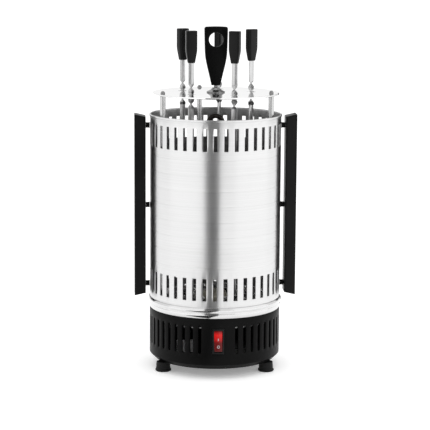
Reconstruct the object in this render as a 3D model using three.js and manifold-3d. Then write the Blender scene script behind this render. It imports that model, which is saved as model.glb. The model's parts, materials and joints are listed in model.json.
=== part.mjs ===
// Upright electric kebab grill: five skewers turn round a hairpin heater inside a lift-off casing.
// Millimetres, +Z up, the front (switch side) faces -Y, the origin is on the floor under the axis.
import * as THREE from 'three';
import { mergeVertices } from 'three/addons/utils/BufferGeometryUtils.js';
import Module from 'manifold-3d';

const wasm = await Module();
wasm.setup();

// ---- Driving sizes ---------------------------------------------------------------------------

// Gaps
const seat = 0.3; // between pieces that rest on or against each other
const running = 0.6; // round anything that turns or slides

// Casing: slotted steel tube with a rolled rim, stands inside the pan's rim and lifts off
const casingRadius = 81.5;
const casingHeight = 231.7;
const casingWall = 0.9;
const casingFit = 0.4;
const hemOutward = 0.9;
const hemHeight = 2.6;
const slotCount = 40;
const slotWidth = 5;
const slotHeight = 27.5;
const slotPhase = -3.2; // degrees from +X to the nearest slot, which keeps the handle screws clear
const lowSlotRise = 11.2; // casing's bottom edge to the lower slots
const highSlotDrop = 10.5; // casing's top edge to the upper slots

// Side handles: two boards on three sleeves each
const boardGap = 5.2;
const boardDepth = 14;
const boardWidth = 24;
const boardTopDrop = 3; // outer edge's ends reach further than the inner edge's by mitre
const boardBottomRise = 7.5;
const boardMitre = 3.2;
const boardRounding = 1.6;
const sleeveRadius = 3.65;
const sleeveInset = 14.3; // casing's top edge to the top sleeve
const sleeveRise = 18.3; // casing's bottom edge to the bottom sleeve

// Base housing: moulded drum, open at the bottom
const housingProud = 0.3; // housing's outside beyond the casing's
const housingHeight = 64;
const housingWall = 2.5;
const housingBevel = 6;
const ledgeWidth = 5;
const ventWidth = 4.2;
const ventPitch = 7.5; // degrees
const ventStart = 16.1; // degrees from the front to the first vent on either side
const ventsPerSide = 20;
const ventBottomMargin = 18.5;
const ventTopMargin = 9;

// Bottom cover and feet
const footHeight = 12;
const footTopRadius = 7.9;
const footRimRadius = 9.9;
const footRimHeight = 3;
const footInset = 8; // housing's outside to a foot's centre
const footAngles = [207.5, 327.5, 87.5];
const footBore = 4.2;
const footScrewBore = 2;
const coverThickness = 2.2;
const coverLip = 6.3; // housing's chamfered bottom edge to the cover
const coverSlotLength = 26;
const coverSlotStart = 24; // from the axis
const coverSlotWidth = 4;
const coverSlots = 6;

// Drip pan: polished dish that closes the housing's top
const panSheet = 1.2;
const panRimHeight = 13;
const panRimDepth = 3.3; // rim's top down to the shoulder the casing stands on
const panBeadOutward = 0.5;
const panShoulderWidth = 2.6;
const panFloorRise = 2; // pan's underside above the housing's top
const panCollarHeight = 4.5;
const shaftCollarHeight = 2;
const shaftCollarWall = 1.4;

// Gears: a ring gear round the heater drives five spindles
const toothModule = 1.5;
const ringTeeth = 40;
const spindleTeeth = 20;
const pinionTeeth = 10;
const gearFace = 7;
const gearHeadroom = 5.2; // gears' top to the pan's underside
const deckDrop = 1.8; // gears' underside to the deck
const deckThickness = 1.2;
const spindleCount = 5;
const spindlePhase = 8.9; // degrees from +X to the first spindle
const shaftRadius = 4;
const shaftEndRadius = 3;
const shaftEndLength = 3;
const hubWall = 2.2;
const hubFlange = 2.3;
const motorClearance = 0.64; // motor to the spindle shafts' ends on either side
const motorHeight = 20;
const motorOffset = 8.5; // motor's middle outward of its pinion
const pinionShaftDepth = 6;

// Drip cups
const cupClearance = 2.5; // cup to the posts, the heater's flange and its neighbours
const cupHeight = 9;
const cupWall = 1.2;
const cupLift = 1.2; // above the pan's shaft collars
const bossWall = 2; // round the skewer's socket
const bossHeight = 15;
const socketDepth = 12;

// Skewers
const bladeWidth = 7.4;
const bladeThickness = 1.6;
const tipLength = 5;
const tipWidth = 2;
const twistTurns = 1.5;
const twistSteps = 18;
const twistAboveDisc = 13;
const twistBelowDisc = 17;
const gripAboveDisc = 38.5; // disc's top to the skewer's grip
const gripLength = 39;
const gripWidth = 13.8;
const gripThickness = 9.4;
const gripNeckEdge = 0.5; // neck's wall beyond the blade's edges
const gripNeckFlank = 2.2; // neck's wall over the blade's flat faces
const gripNeckRelief = 0.6; // neck's end narrower than the neck by
const gripNeckLength = 15;
const gripRounding = 2.4;
const gripTopRounding = 1.1;
const tangLength = 20;
const skewerTurns = [42, 60, 31, 8, -20]; // degrees each blade is turned from facing the front

// Heater
const heaterTubeRadius = 3.15;
const heaterLegSpacing = 16.6;
const heaterBelowRim = 0; // tube's top below the casing's rim
const heaterBaseWall = 2.45; // round the tube's holes
const heaterFlangeOutward = 5.8;
const heaterFlangeHeight = 4;
const heaterConeHeight = 6;
const heaterTailLength = 8; // below the deck

// Top disc on three posts
const discRise = 25; // casing's rim to the disc's underside
const discThickness = 1.2;
const discPassage = 2.1; // disc's edge to the casing's inside
const discHem = 1.6;
const skewerPassage = 1.9; // blade's edge to its hole in the disc
const postRadius = 3.5;
const postInset = 9.5; // disc's edge to a post's centre
const postAngles = [349, 104, 197]; // degrees from +X
const postTailRadius = 2;
const rivetRadius = 3.3;
const rivetHeight = 1.6;
const threadRadius = 1.5;
const threadLength = 1.9;
const nutRadius = 2.9;
const nutHeight = 3;

// Carrying handle on its stud
const coneRadius = 11.3;
const coneTopRadius = 4.2;
const coneHeight = 5.6;
const studRadius = 2.5;
const studHeadRadius = 4.6;
const studHeadHeight = 3.4;
const studInHandle = 20;
const handleGap = 3;
const handleHeight = 72.2;
// Half widths up the handle, each with its height as a share of the whole
const handleFlank = [[5.4, 0], [8.7, 0.18], [11.5, 0.34], [14, 0.58], [14.3, 0.85], [14.5, 0.96]];
const handleThickness = 8;
const handleCorner = 2.6;
const handleHoleRadius = 8.8;
const handleHoleDrop = 16.1; // handle's top to the hole's centre
const handleRounding = 1.3;

// Rocker switch in the housing's front
const rockerLength = 25.5;
const rockerWidth = 9.6;
const rockerThrow = 12; // degrees from one end to the other
const rockerPivotDepth = 3.5; // behind the bezel's face
const rockerFaceDepth = 0.5; // pressed half behind the bezel's face
const rockerRoot = 3.6; // rocker's body behind its pivot
const rockerPlay = 0.75;
const bezelProud = 0.2; // bezel's face beyond the housing's outside
const bezelThickness = 1.4;
const bezelBorder = 2.0;
const bezelTop = 2.0;
const switchWall = 0.9;
const switchBodyDepth = 20;
const switchHeadroom = 0.9; // switch's body to the deck

// Cord inlet and wiring
const glandFlangeRadius = 8;
const glandFlangeDepth = 2;
const glandBodyRadius = 5.5;
const glandBore = 3.4;
const glandBodyLength = 8;
const glandRise = 18; // above the housing's bottom
const terminalLength = 26;
const terminalDepth = 12;
const terminalHeight = 13;
const terminalPlace = [-34, 6];

// ---- Levels and radii that follow ------------------------------------------------------------

const housingRadius = casingRadius + housingProud;
const housingInner = housingRadius - housingWall;
const housingBottom = footHeight;
const housingTop = housingBottom + housingHeight;
const panBottom = housingTop + seat;
const panRimTop = panBottom + panRimHeight;
const panShoulderTop = panRimTop - panRimDepth;
const panRimInner = casingRadius + casingFit;
const panFloorBottom = panBottom + panFloorRise;
const panFloorTop = panFloorBottom + panSheet;
const casingBottom = panShoulderTop + seat;
const casingTop = casingBottom + casingHeight;
const gearTop = panFloorBottom - gearHeadroom;
const gearBottom = gearTop - gearFace;
const deckTop = gearBottom - deckDrop;
const deckBottom = deckTop - deckThickness;
const heaterBaseRadius = heaterLegSpacing / 2 + heaterTubeRadius + seat + heaterBaseWall;
const heaterFlangeRadius = heaterBaseRadius + heaterFlangeOutward;
const spindleCircle = ((ringTeeth + spindleTeeth) * toothModule) / 2;
const pinionCircle = ((ringTeeth + pinionTeeth) * toothModule) / 2;
const pinionAngle = spindlePhase + 1.5 * (360 / spindleCount);
const motorCircle = pinionCircle + motorOffset;
const halfPitch = Math.PI / spindleCount;
const motorRadius =
  Math.hypot(
    motorCircle - spindleCircle * Math.cos(halfPitch),
    spindleCircle * Math.sin(halfPitch),
  ) -
  shaftEndRadius -
  motorClearance;
const discRadius = casingRadius - casingWall - discPassage;
const discBottom = casingTop + discRise;
const discTop = discBottom + discThickness;
const postCircle = discRadius - postInset;
const cupRadius = Math.min(
  postCircle - postRadius - spindleCircle - cupClearance,
  spindleCircle - heaterFlangeRadius - cupClearance,
  spindleCircle * Math.sin(halfPitch) - cupClearance / 2,
);
const bossRadius = bladeWidth / 2 + seat + bossWall;
const skewerHoleRadius = bladeWidth / 2 + skewerPassage;
const gripNeckWidth = bladeWidth + 2 * (seat + gripNeckEdge);
const gripNeckThickness = bladeThickness + 2 * (seat + gripNeckFlank);
const cupBottom = panFloorTop + shaftCollarHeight + cupLift;
const socketFloor = cupBottom + bossHeight - socketDepth;
const hubInner = heaterBaseRadius + seat;
const hubOuter = hubInner + hubWall;
const heaterFlangeBottom = panFloorTop + panCollarHeight + seat;
const switchBodyHalf = rockerLength / 2 + rockerPlay + switchWall;
const switchZ = deckBottom - switchHeadroom - switchBodyHalf;
const bezelFace = housingRadius + bezelProud;
const coverRadius = housingRadius - housingBevel - coverLip;

// ---- Shape helpers ---------------------------------------------------------------------------

const radians = THREE.MathUtils.degToRad;

// Places evenly spread on a circle, as [x, y, degrees].
function spread(count, circle, phase) {
  return Array.from({ length: count }, (_, i) => {
    const degrees = phase + (i * 360) / count;
    return [...onCircle(circle, degrees), degrees];
  });
}

function onCircle(circle, degrees) {
  return [circle * Math.cos(radians(degrees)), circle * Math.sin(radians(degrees))];
}

function signedVolume(geometry) {
  const position = geometry.getAttribute('position');
  const corners = [new THREE.Vector3(), new THREE.Vector3(), new THREE.Vector3()];
  let volume = 0;
  for (let i = 0; i < geometry.index.count; i += 3) {
    corners.forEach((corner, k) => corner.fromBufferAttribute(position, geometry.index.getX(i + k)));
    volume += corners[0].dot(corners[1].clone().cross(corners[2])) / 6;
  }
  return volume;
}

// Shared vertices merged, collapsed triangles dropped, faces turned outward.
function sealed(geometry) {
  geometry.deleteAttribute('normal');
  geometry.deleteAttribute('uv');
  const merged = mergeVertices(geometry, 1e-4);
  const corners = Array.from(merged.index.array);
  const kept = [];
  for (let i = 0; i < corners.length; i += 3) {
    const [a, b, c] = corners.slice(i, i + 3);
    if (a !== b && b !== c && c !== a) {
      kept.push(a, b, c);
    }
  }
  merged.setIndex(kept);
  merged.clearGroups();
  if (signedVolume(merged) < 0) {
    merged.setIndex(kept.reverse());
  }
  return merged;
}

function solidOf(geometry) {
  const mesh = sealed(geometry);
  return new wasm.Manifold(
    new wasm.Mesh({
      numProp: 3,
      vertProperties: new Float32Array(mesh.getAttribute('position').array),
      triVerts: new Uint32Array(mesh.index.array),
    }),
  );
}

function geometryOf(solid) {
  const { vertProperties, triVerts } = solid.getMesh();
  const geometry = new THREE.BufferGeometry();
  geometry.setAttribute('position', new THREE.BufferAttribute(vertProperties, 3));
  geometry.setIndex(new THREE.BufferAttribute(triVerts, 1));
  return geometry;
}

function cut(body, ...tools) {
  return geometryOf(tools.reduce((solid, tool) => solid.subtract(solidOf(tool)), solidOf(body)));
}

function join(body, ...additions) {
  return geometryOf(additions.reduce((solid, part) => solid.add(solidOf(part)), solidOf(body)));
}

// Revolved about Z from [radius, height] points; a profile off the axis closes on its first point.
function turned(profile, segments, phase = 0) {
  const points = profile.map(([radius, height]) => new THREE.Vector2(radius, height));
  if (profile[0][0] > 0) {
    points.push(points[0].clone());
  }
  const geometry = new THREE.LatheGeometry(points, segments);
  geometry.rotateX(Math.PI / 2);
  geometry.rotateZ(radians(phase));
  return geometry;
}

function rod(radius, bottom, top, segments, [x, y] = [0, 0]) {
  const geometry = new THREE.CylinderGeometry(radius, radius, top - bottom, segments);
  geometry.rotateX(Math.PI / 2);
  geometry.translate(x, y, (top + bottom) / 2);
  return geometry;
}

function block(low, high) {
  const size = high.map((value, axis) => value - low[axis]);
  const geometry = new THREE.BoxGeometry(...size);
  geometry.translate(...low.map((value, axis) => value + size[axis] / 2));
  return geometry;
}

// Flat outline in X and Z, extruded to a thickness centred on Y, with rounded long edges.
function slab(shape, thickness, rounding, curveSegments = 6) {
  const geometry = new THREE.ExtrudeGeometry(shape, {
    depth: thickness - 2 * rounding,
    bevelEnabled: rounding > 0,
    bevelThickness: rounding,
    bevelSize: rounding,
    bevelOffset: -rounding,
    bevelSegments: 1,
    curveSegments,
  });
  geometry.translate(0, 0, rounding - thickness / 2);
  geometry.rotateX(Math.PI / 2);
  return geometry;
}

// Flat outline in X and Y, extruded upward.
function plate(shape, bottom, top, curveSegments = 8) {
  const geometry = new THREE.ExtrudeGeometry(shape, {
    depth: top - bottom,
    bevelEnabled: false,
    curveSegments,
  });
  geometry.translate(0, 0, bottom);
  return geometry;
}

// Solid through rings of equally many points, closed by a fan at each end.
function loft(rings) {
  const count = rings[0].length;
  const index = [];
  for (let r = 0; r + 1 < rings.length; r += 1) {
    for (let i = 0; i < count; i += 1) {
      const low = r * count + i;
      const lowNext = r * count + ((i + 1) % count);
      index.push(low, lowNext, lowNext + count, low, lowNext + count, low + count);
    }
  }
  const last = (rings.length - 1) * count;
  for (let i = 1; i + 1 < count; i += 1) {
    index.push(0, i + 1, i, last, last + i, last + i + 1);
  }
  const geometry = new THREE.BufferGeometry();
  geometry.setAttribute('position', new THREE.Float32BufferAttribute(rings.flat(2), 3));
  geometry.setIndex(index);
  return geometry;
}

// Rectangle with cut corners, turned by an angle, as a ring of points at one height.
function cornerRing(width, thickness, corner, height, degrees = 0) {
  const [w, t] = [width / 2, thickness / 2];
  const outline =
    corner > 0
      ? [
          [-w + corner, -t],
          [w - corner, -t],
          [w, -t + corner],
          [w, t - corner],
          [w - corner, t],
          [-w + corner, t],
          [-w, t - corner],
          [-w, -t + corner],
        ]
      : [
          [-w, -t],
          [w, -t],
          [w, t],
          [-w, t],
        ];
  const [c, s] = [Math.cos(radians(degrees)), Math.sin(radians(degrees))];
  return outline.map(([x, y]) => [x * c - y * s, x * s + y * c, height]);
}

// ---- Finishes --------------------------------------------------------------------------------

function finish(color, roughness, metalness) {
  return new THREE.MeshStandardMaterial({ color, roughness, metalness });
}

const brushedSteel = finish(0xc6c7c6, 0.34, 1);
const polishedSteel = finish(0xdcdddd, 0.08, 1);
const turnedSteel = finish(0xb9bbbc, 0.25, 1);
const zincSteel = finish(0xa4a8a8, 0.45, 1);
const heaterSteel = finish(0x3c3936, 0.55, 0.7);
const blackPlastic = finish(0x1f1f20, 0.5, 0);
const glossBlack = finish(0x151516, 0.3, 0);
const rubber = finish(0x1b1b1b, 0.8, 0);
const nylon = finish(0xdcd8ca, 0.5, 0);
const ceramic = finish(0xe4ddcd, 0.6, 0);
const redPlastic = finish(0xb3241c, 0.25, 0);

const grill = new THREE.Group();
grill.name = 'kebab_grill';

function add(name, geometry, material, place = [0, 0, 0], turn = 0) {
  const mesh = new THREE.Mesh(sealed(geometry), material);
  mesh.name = name;
  mesh.position.set(...place);
  mesh.rotation.z = radians(turn);
  grill.add(mesh);
}

const postPlaces = postAngles.map((degrees) => onCircle(postCircle, degrees));

// ---- Base ------------------------------------------------------------------------------------

function housing() {
  const lipRadius = housingRadius - housingBevel - coverLip + seat;
  const ledgeTop = deckBottom - seat;
  const ledgeInner = housingInner - ledgeWidth;
  const drum = turned(
    [
      [lipRadius, housingBottom],
      [housingRadius - housingBevel, housingBottom],
      [housingRadius, housingBottom + housingBevel],
      [housingRadius, housingTop],
      [housingInner, housingTop],
      [housingInner, ledgeTop],
      [ledgeInner, ledgeTop],
      [ledgeInner, ledgeTop - housingWall],
      [housingInner, ledgeTop - housingWall - ledgeWidth],
      [housingInner, housingBottom + housingBevel + housingWall / 2],
      [housingInner - housingBevel + housingWall / 2, housingBottom + housingWall],
      [lipRadius, housingBottom + housingWall],
    ],
    Math.round(360 / ventPitch),
    ventPitch / 2,
  );
  const cuts = [-1, 1].flatMap((side) =>
    Array.from({ length: ventsPerSide }, (_, i) => vent(side * (ventStart + i * ventPitch))),
  );
  return cut(drum, ...cuts, switchRecess(), switchPassage(), glandHole());
}

// Upright slot with round ends through the housing's wall, at an angle from the front.
function vent(degrees) {
  const bottom = housingBottom + ventBottomMargin;
  const top = housingTop - ventTopMargin;
  const half = ventWidth / 2;
  const outline = new THREE.Shape();
  outline.absarc(0, top - half, half, 0, Math.PI);
  outline.absarc(0, bottom + half, half, Math.PI, 2 * Math.PI);
  const reach = housingWall + 2;
  const tool = slab(outline, reach, 0, 2);
  tool.translate(0, -(housingRadius + 1 - reach / 2), 0);
  tool.rotateZ(radians(degrees));
  return tool;
}

function bezelHalf() {
  return [
    rockerWidth / 2 + rockerPlay / 2 + bezelBorder,
    rockerLength / 2 + rockerPlay + bezelTop,
  ];
}

// Flat pocket that the switch's bezel sits in.
function switchRecess() {
  const [halfWidth, halfHeight] = bezelHalf();
  const floor = bezelFace - bezelThickness - seat;
  return block(
    [-halfWidth - seat, -housingRadius - 2, switchZ - halfHeight - seat],
    [halfWidth + seat, -floor, switchZ + halfHeight + seat],
  );
}

function switchPassage() {
  const halfWidth = rockerWidth / 2 + rockerPlay / 2 + switchWall + seat;
  const halfHeight = switchBodyHalf + seat;
  return block(
    [-halfWidth, -housingRadius - 2, switchZ - halfHeight],
    [halfWidth, -housingInner + ledgeWidth + 2, switchZ + halfHeight],
  );
}

function alongY(geometry) {
  geometry.rotateX(-Math.PI / 2);
  return geometry;
}

function glandHole() {
  const hole = alongY(rod(glandBodyRadius + seat, housingInner - 4, housingRadius + 2, 20));
  hole.translate(0, 0, housingBottom + glandRise);
  return hole;
}

function gland() {
  const outer = housingRadius + seat + glandFlangeDepth;
  const profile = [
    [glandBore, outer - glandFlangeDepth - glandBodyLength],
    [glandBodyRadius, outer - glandFlangeDepth - glandBodyLength],
    [glandBodyRadius, outer - glandFlangeDepth],
    [glandFlangeRadius, outer - glandFlangeDepth],
    [glandFlangeRadius, outer - glandFlangeDepth / 2],
    [glandFlangeRadius - 1, outer],
    [glandBore, outer],
  ];
  const geometry = alongY(turned(profile, 16));
  geometry.translate(0, 0, housingBottom + glandRise);
  return geometry;
}

function bottomCover() {
  const disc = rod(coverRadius, housingBottom + seat, housingBottom + seat + coverThickness, 36);
  const slots = spread(coverSlots, 0, 30).map(([, , degrees]) => {
    const outline = new THREE.Shape();
    const half = coverSlotWidth / 2;
    outline.absarc(coverSlotStart + coverSlotLength, 0, half, -Math.PI / 2, Math.PI / 2);
    outline.absarc(coverSlotStart, 0, half, Math.PI / 2, 1.5 * Math.PI);
    const tool = plate(outline, housingBottom - 1, housingBottom + coverThickness + 2, 2);
    tool.rotateZ(radians(degrees));
    return tool;
  });
  return cut(disc, ...slots);
}

function foot() {
  const top = footHeight - seat;
  return turned(
    [
      [footScrewBore, top],
      [footTopRadius, top],
      [footRimRadius - 0.5, footRimHeight],
      [footRimRadius, footRimHeight],
      [footRimRadius, 1],
      [footRimRadius - 1, 0],
      [footBore, 0],
      [footBore, top - 4],
      [footScrewBore, top - 4],
    ],
    16,
  );
}

function dripPan() {
  const skirt = housingRadius;
  const rimOuter = panRimInner + panSheet;
  const bead = rimOuter + panBeadOutward;
  const shoulderInner = panRimInner - panShoulderWidth;
  const collarInner = heaterBaseRadius + running;
  const collarOuter = collarInner + panSheet;
  const dish = turned(
    [
      [skirt, panBottom],
      [bead, panBottom + 0.38 * panRimHeight],
      [bead, panBottom + 0.72 * panRimHeight],
      [rimOuter, panRimTop],
      [panRimInner, panRimTop],
      [panRimInner, panShoulderTop],
      [shoulderInner, panShoulderTop],
      [shoulderInner - 2, panFloorTop],
      [collarOuter, panFloorTop],
      [collarOuter, panFloorTop + panCollarHeight],
      [collarInner, panFloorTop + panCollarHeight],
      [collarInner, panFloorBottom],
      [shoulderInner - panSheet - 2, panFloorBottom],
      [skirt - panSheet - 1, panFloorBottom],
      [skirt - panSheet - 1, panBottom],
    ],
    48,
  );
  const spindles = spread(spindleCount, spindleCircle, spindlePhase);
  const collars = spindles.map(([x, y]) =>
    rod(shaftRadius + running + shaftCollarWall, panFloorBottom + 0.4,
      panFloorTop + shaftCollarHeight, 12, [x, y]),
  );
  const holes = spindles.map(([x, y]) =>
    rod(shaftRadius + running, panFloorBottom - 1, panFloorTop + shaftCollarHeight + 1, 12, [x, y]),
  );
  const postHoles = postPlaces.map((place) =>
    rod(postTailRadius + seat, panFloorBottom - 1, panFloorTop + 1, 8, place),
  );
  return cut(join(dish, ...collars), ...holes, ...postHoles);
}

// ---- Drive -----------------------------------------------------------------------------------

// Spur gear outline with straight-flanked teeth just inside the involute; one tooth at angle zero.
function gearShape(teeth, bore) {
  const pressure = radians(20);
  const pitch = (teeth * toothModule) / 2;
  const base = pitch * Math.cos(pressure);
  const tip = pitch + 0.8 * toothModule;
  const root = pitch - 1.2 * toothModule;
  const backlash = 0.1 * toothModule;
  const involute = (angle) => Math.tan(angle) - angle;
  const halfTooth = (radius) => {
    const atPitch = Math.PI / (2 * teeth) - backlash / pitch;
    return atPitch + involute(pressure) - involute(Math.acos(Math.min(1, base / radius)));
  };
  const outline = new THREE.Shape();
  for (let i = 0; i < teeth; i += 1) {
    const centre = (i * 2 * Math.PI) / teeth;
    const corners = [
      [root, centre - halfTooth(Math.max(base, root))],
      [tip, centre - halfTooth(tip)],
      [tip, centre + halfTooth(tip)],
      [root, centre + halfTooth(Math.max(base, root))],
    ];
    corners.forEach(([radius, angle], k) => {
      const move = i === 0 && k === 0 ? 'moveTo' : 'lineTo';
      outline[move](radius * Math.cos(angle), radius * Math.sin(angle));
    });
  }
  outline.closePath();
  if (bore > 0) {
    const hole = new THREE.Path();
    hole.absarc(0, 0, bore, 0, 2 * Math.PI, true);
    outline.holes.push(hole);
  }
  return outline;
}

function gear(teeth, bore, boreSegments) {
  return plate(gearShape(teeth, bore), 0, gearFace, boreSegments);
}

// Turn that puts a tooth gap of a driven gear opposite the ring gear's tooth at its place.
function meshPhase(place, teeth) {
  return place + 180 + 180 / teeth;
}

function gearDeck() {
  const disc = rod(housingInner - running, deckBottom, deckTop, 36);
  const pinionHole = rod(shaftEndRadius + running, deckBottom - 1, deckTop + 1, 10,
    onCircle(pinionCircle, pinionAngle));
  const spindleHoles = spread(spindleCount, spindleCircle, spindlePhase).map(([x, y]) =>
    rod(shaftEndRadius + seat, deckBottom - 1, deckTop + 1, 10, [x, y]),
  );
  const centre = rod(heaterBaseRadius + running, deckBottom - 1, deckTop + 1, 20);
  return cut(disc, centre, pinionHole, ...spindleHoles);
}

function gearHub() {
  const bottom = deckTop + seat;
  const flangeTop = gearBottom - running;
  return turned(
    [
      [hubInner, bottom],
      [hubOuter + hubFlange, bottom],
      [hubOuter + hubFlange, flangeTop],
      [hubOuter, flangeTop],
      [hubOuter, gearTop + 2],
      [hubInner, gearTop + 2],
    ],
    24,
  );
}

function gearMotor() {
  const top = deckBottom - seat;
  const [x, y] = onCircle(motorCircle, pinionAngle);
  const body = rod(motorRadius, top - motorHeight, top, 28, [x, y]);
  const ears = block([-motorRadius - 6, -5, top - 1.2], [motorRadius + 6, 5, top]);
  ears.rotateZ(radians(pinionAngle + 90));
  ears.translate(x, y, 0);
  const bore = rod(shaftEndRadius + seat, top - pinionShaftDepth - 1, top + 1, 12,
    onCircle(pinionCircle, pinionAngle));
  return cut(join(body, ears), bore);
}

// Pinion with its shaft, which reaches down through the deck into the motor.
function motorPinion() {
  const shaft = rod(shaftEndRadius, deckBottom - seat - pinionShaftDepth, gearBottom + 1, 12);
  const teeth = gear(pinionTeeth, 0, 8);
  teeth.translate(0, 0, gearBottom);
  return join(teeth, shaft);
}

// Cup with its shaft below and a slotted boss for the skewer's tip in the middle.
function dripCup() {
  const body = turned(
    [
      [0, deckBottom - shaftEndLength],
      [shaftEndRadius, deckBottom - shaftEndLength],
      [shaftEndRadius, deckTop + seat],
      [shaftRadius, deckTop + seat],
      [shaftRadius, cupBottom],
      [cupRadius - 2, cupBottom],
      [cupRadius, cupBottom + 2],
      [cupRadius, cupBottom + cupHeight],
      [cupRadius - cupWall, cupBottom + cupHeight],
      [cupRadius - cupWall, cupBottom + cupWall + 0.8],
      [bossRadius, cupBottom + cupWall],
      [bossRadius, cupBottom + bossHeight],
      [0, cupBottom + bossHeight],
    ],
    16,
  );
  const halfWidth = bladeWidth / 2 + seat;
  const halfThickness = bladeThickness / 2 + seat;
  const socket = block(
    [-halfWidth, -halfThickness, socketFloor],
    [halfWidth, halfThickness, cupBottom + bossHeight + 1],
  );
  return cut(body, socket);
}

// ---- Skewers ---------------------------------------------------------------------------------

// Flat strip with a pointed tip, twisted where it passes through the disc.
function skewerBlade() {
  const strip = (height, degrees = 0) => cornerRing(bladeWidth, bladeThickness, 0, height, degrees);
  const bottom = socketFloor + seat;
  const twistBottom = discTop - twistBelowDisc;
  const twistTop = discTop + twistAboveDisc;
  const rings = [cornerRing(tipWidth, bladeThickness, 0, bottom), strip(bottom + tipLength)];
  for (let i = 0; i <= twistSteps; i += 1) {
    const share = i / twistSteps;
    rings.push(strip(twistBottom + share * (twistTop - twistBottom), -share * 360 * twistTurns));
  }
  rings.push(strip(discTop + gripAboveDisc + tangLength, -360 * twistTurns));
  return loft(rings);
}

// Moulded grip with a narrow neck, slotted underneath for the blade's end.
function skewerGrip() {
  const bottom = discTop + gripAboveDisc;
  const top = bottom + gripLength;
  const neckCorner = gripRounding * 0.7;
  const grip = loft([
    cornerRing(gripNeckWidth - gripNeckRelief, gripNeckThickness - gripNeckRelief,
      neckCorner, bottom),
    cornerRing(gripNeckWidth, gripNeckThickness, neckCorner, bottom + 0.8),
    cornerRing(gripWidth, gripThickness, gripRounding, bottom + gripNeckLength),
    cornerRing(gripWidth, gripThickness, gripRounding, top - gripTopRounding),
    cornerRing(gripWidth - 2 * gripTopRounding, gripThickness - 2 * gripTopRounding,
      gripRounding * 0.7, top),
  ]);
  const halfWidth = bladeWidth / 2 + seat;
  const halfThickness = bladeThickness / 2 + seat;
  const slot = block(
    [-halfWidth, -halfThickness, bottom - 1],
    [halfWidth, halfThickness, bottom + tangLength + 1],
  );
  return cut(grip, slot);
}

// ---- Heater ----------------------------------------------------------------------------------

// Bent tube: a ring of points square to the path at each station, up, over and down.
function heaterTube() {
  const sides = 10;
  const bend = heaterLegSpacing / 2;
  const bendZ = casingTop - heaterBelowRim - heaterTubeRadius - bend;
  const bottom = deckBottom - heaterTailLength;
  const stations = [[-bend, bottom, 0]];
  for (let degrees = 0; degrees <= 180; degrees += 22.5) {
    const angle = radians(degrees);
    stations.push([-bend * Math.cos(angle), bendZ + bend * Math.sin(angle), angle]);
  }
  stations.push([bend, bottom, Math.PI]);
  const rings = stations.map(([x, z, angle]) =>
    Array.from({ length: sides }, (_, i) => {
      const around = (i * 2 * Math.PI) / sides;
      const across = heaterTubeRadius * Math.cos(around);
      return [
        x + across * Math.cos(angle),
        heaterTubeRadius * Math.sin(around),
        z - across * Math.sin(angle),
      ];
    }),
  );
  return loft(rings);
}

function heaterBase() {
  const body = turned(
    [
      [0, deckBottom - 2],
      [heaterBaseRadius, deckBottom - 2],
      [heaterBaseRadius, heaterFlangeBottom],
      [heaterFlangeRadius, heaterFlangeBottom],
      [heaterFlangeRadius, heaterFlangeBottom + heaterFlangeHeight],
      [heaterBaseRadius, heaterFlangeBottom + heaterFlangeHeight + heaterConeHeight],
      [0, heaterFlangeBottom + heaterFlangeHeight + heaterConeHeight],
    ],
    24,
  );
  const holes = [-1, 1].map((side) =>
    rod(heaterTubeRadius + seat, deckBottom - 4, heaterFlangeBottom + 20, 12,
      [(side * heaterLegSpacing) / 2, 0]),
  );
  return cut(body, ...holes);
}

// ---- Disc, posts and carrying handle ---------------------------------------------------------

function post() {
  const bottom = panFloorTop + seat;
  const top = discBottom - seat;
  return turned(
    [
      [0, panFloorBottom - seat - rivetHeight],
      [rivetRadius, panFloorBottom - seat - rivetHeight],
      [rivetRadius, panFloorBottom - seat],
      [postTailRadius, panFloorBottom - seat],
      [postTailRadius, bottom],
      [postRadius, bottom],
      [postRadius, top],
      [threadRadius, top],
      [threadRadius, discTop + threadLength],
      [0, discTop + threadLength],
    ],
    12,
  );
}

function domedNut() {
  const bottom = discTop + seat;
  const bore = threadRadius + seat;
  return turned(
    [
      [bore, bottom],
      [nutRadius, bottom],
      [nutRadius, bottom + 0.5 * nutHeight],
      [nutRadius * 0.8, bottom + 0.82 * nutHeight],
      [nutRadius * 0.35, bottom + nutHeight],
      [0, bottom + nutHeight],
      [0, discTop + threadLength + seat],
      [bore, discTop + threadLength + seat],
    ],
    12,
  );
}

function topDisc() {
  const disc = turned(
    [
      [0, discBottom],
      [discRadius - discHem, discBottom],
      [discRadius - 0.5, discBottom - 0.6],
      [discRadius, discBottom],
      [discRadius, discTop - 0.2],
      [discRadius - 0.5, discTop + 0.3],
      [discRadius - discHem, discTop],
      [0, discTop],
    ],
    48,
  );
  const drill = (radius, segments) => ([x, y]) =>
    rod(radius, discBottom - 2, discTop + 2, segments, [x, y]);
  return cut(
    disc,
    drill(studRadius + seat, 12)([0, 0]),
    ...spread(spindleCount, spindleCircle, spindlePhase).map(drill(skewerHoleRadius, 14)),
    ...postPlaces.map(drill(threadRadius + seat, 8)),
  );
}

function coneWasher() {
  const bottom = discTop + seat;
  return turned(
    [
      [studRadius + seat, bottom],
      [coneRadius, bottom],
      [coneRadius, bottom + 1],
      [coneTopRadius, bottom + coneHeight],
      [studRadius + seat, bottom + coneHeight],
    ],
    20,
  );
}

const handleBottom = discTop + seat + coneHeight + handleGap;

function handleStud() {
  const headTop = discBottom - seat;
  return turned(
    [
      [0, headTop - studHeadHeight],
      [studHeadRadius, headTop - studHeadHeight],
      [studHeadRadius, headTop],
      [studRadius, headTop],
      [studRadius, handleBottom + studInHandle],
      [0, handleBottom + studInHandle],
    ],
    16,
  );
}

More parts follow.
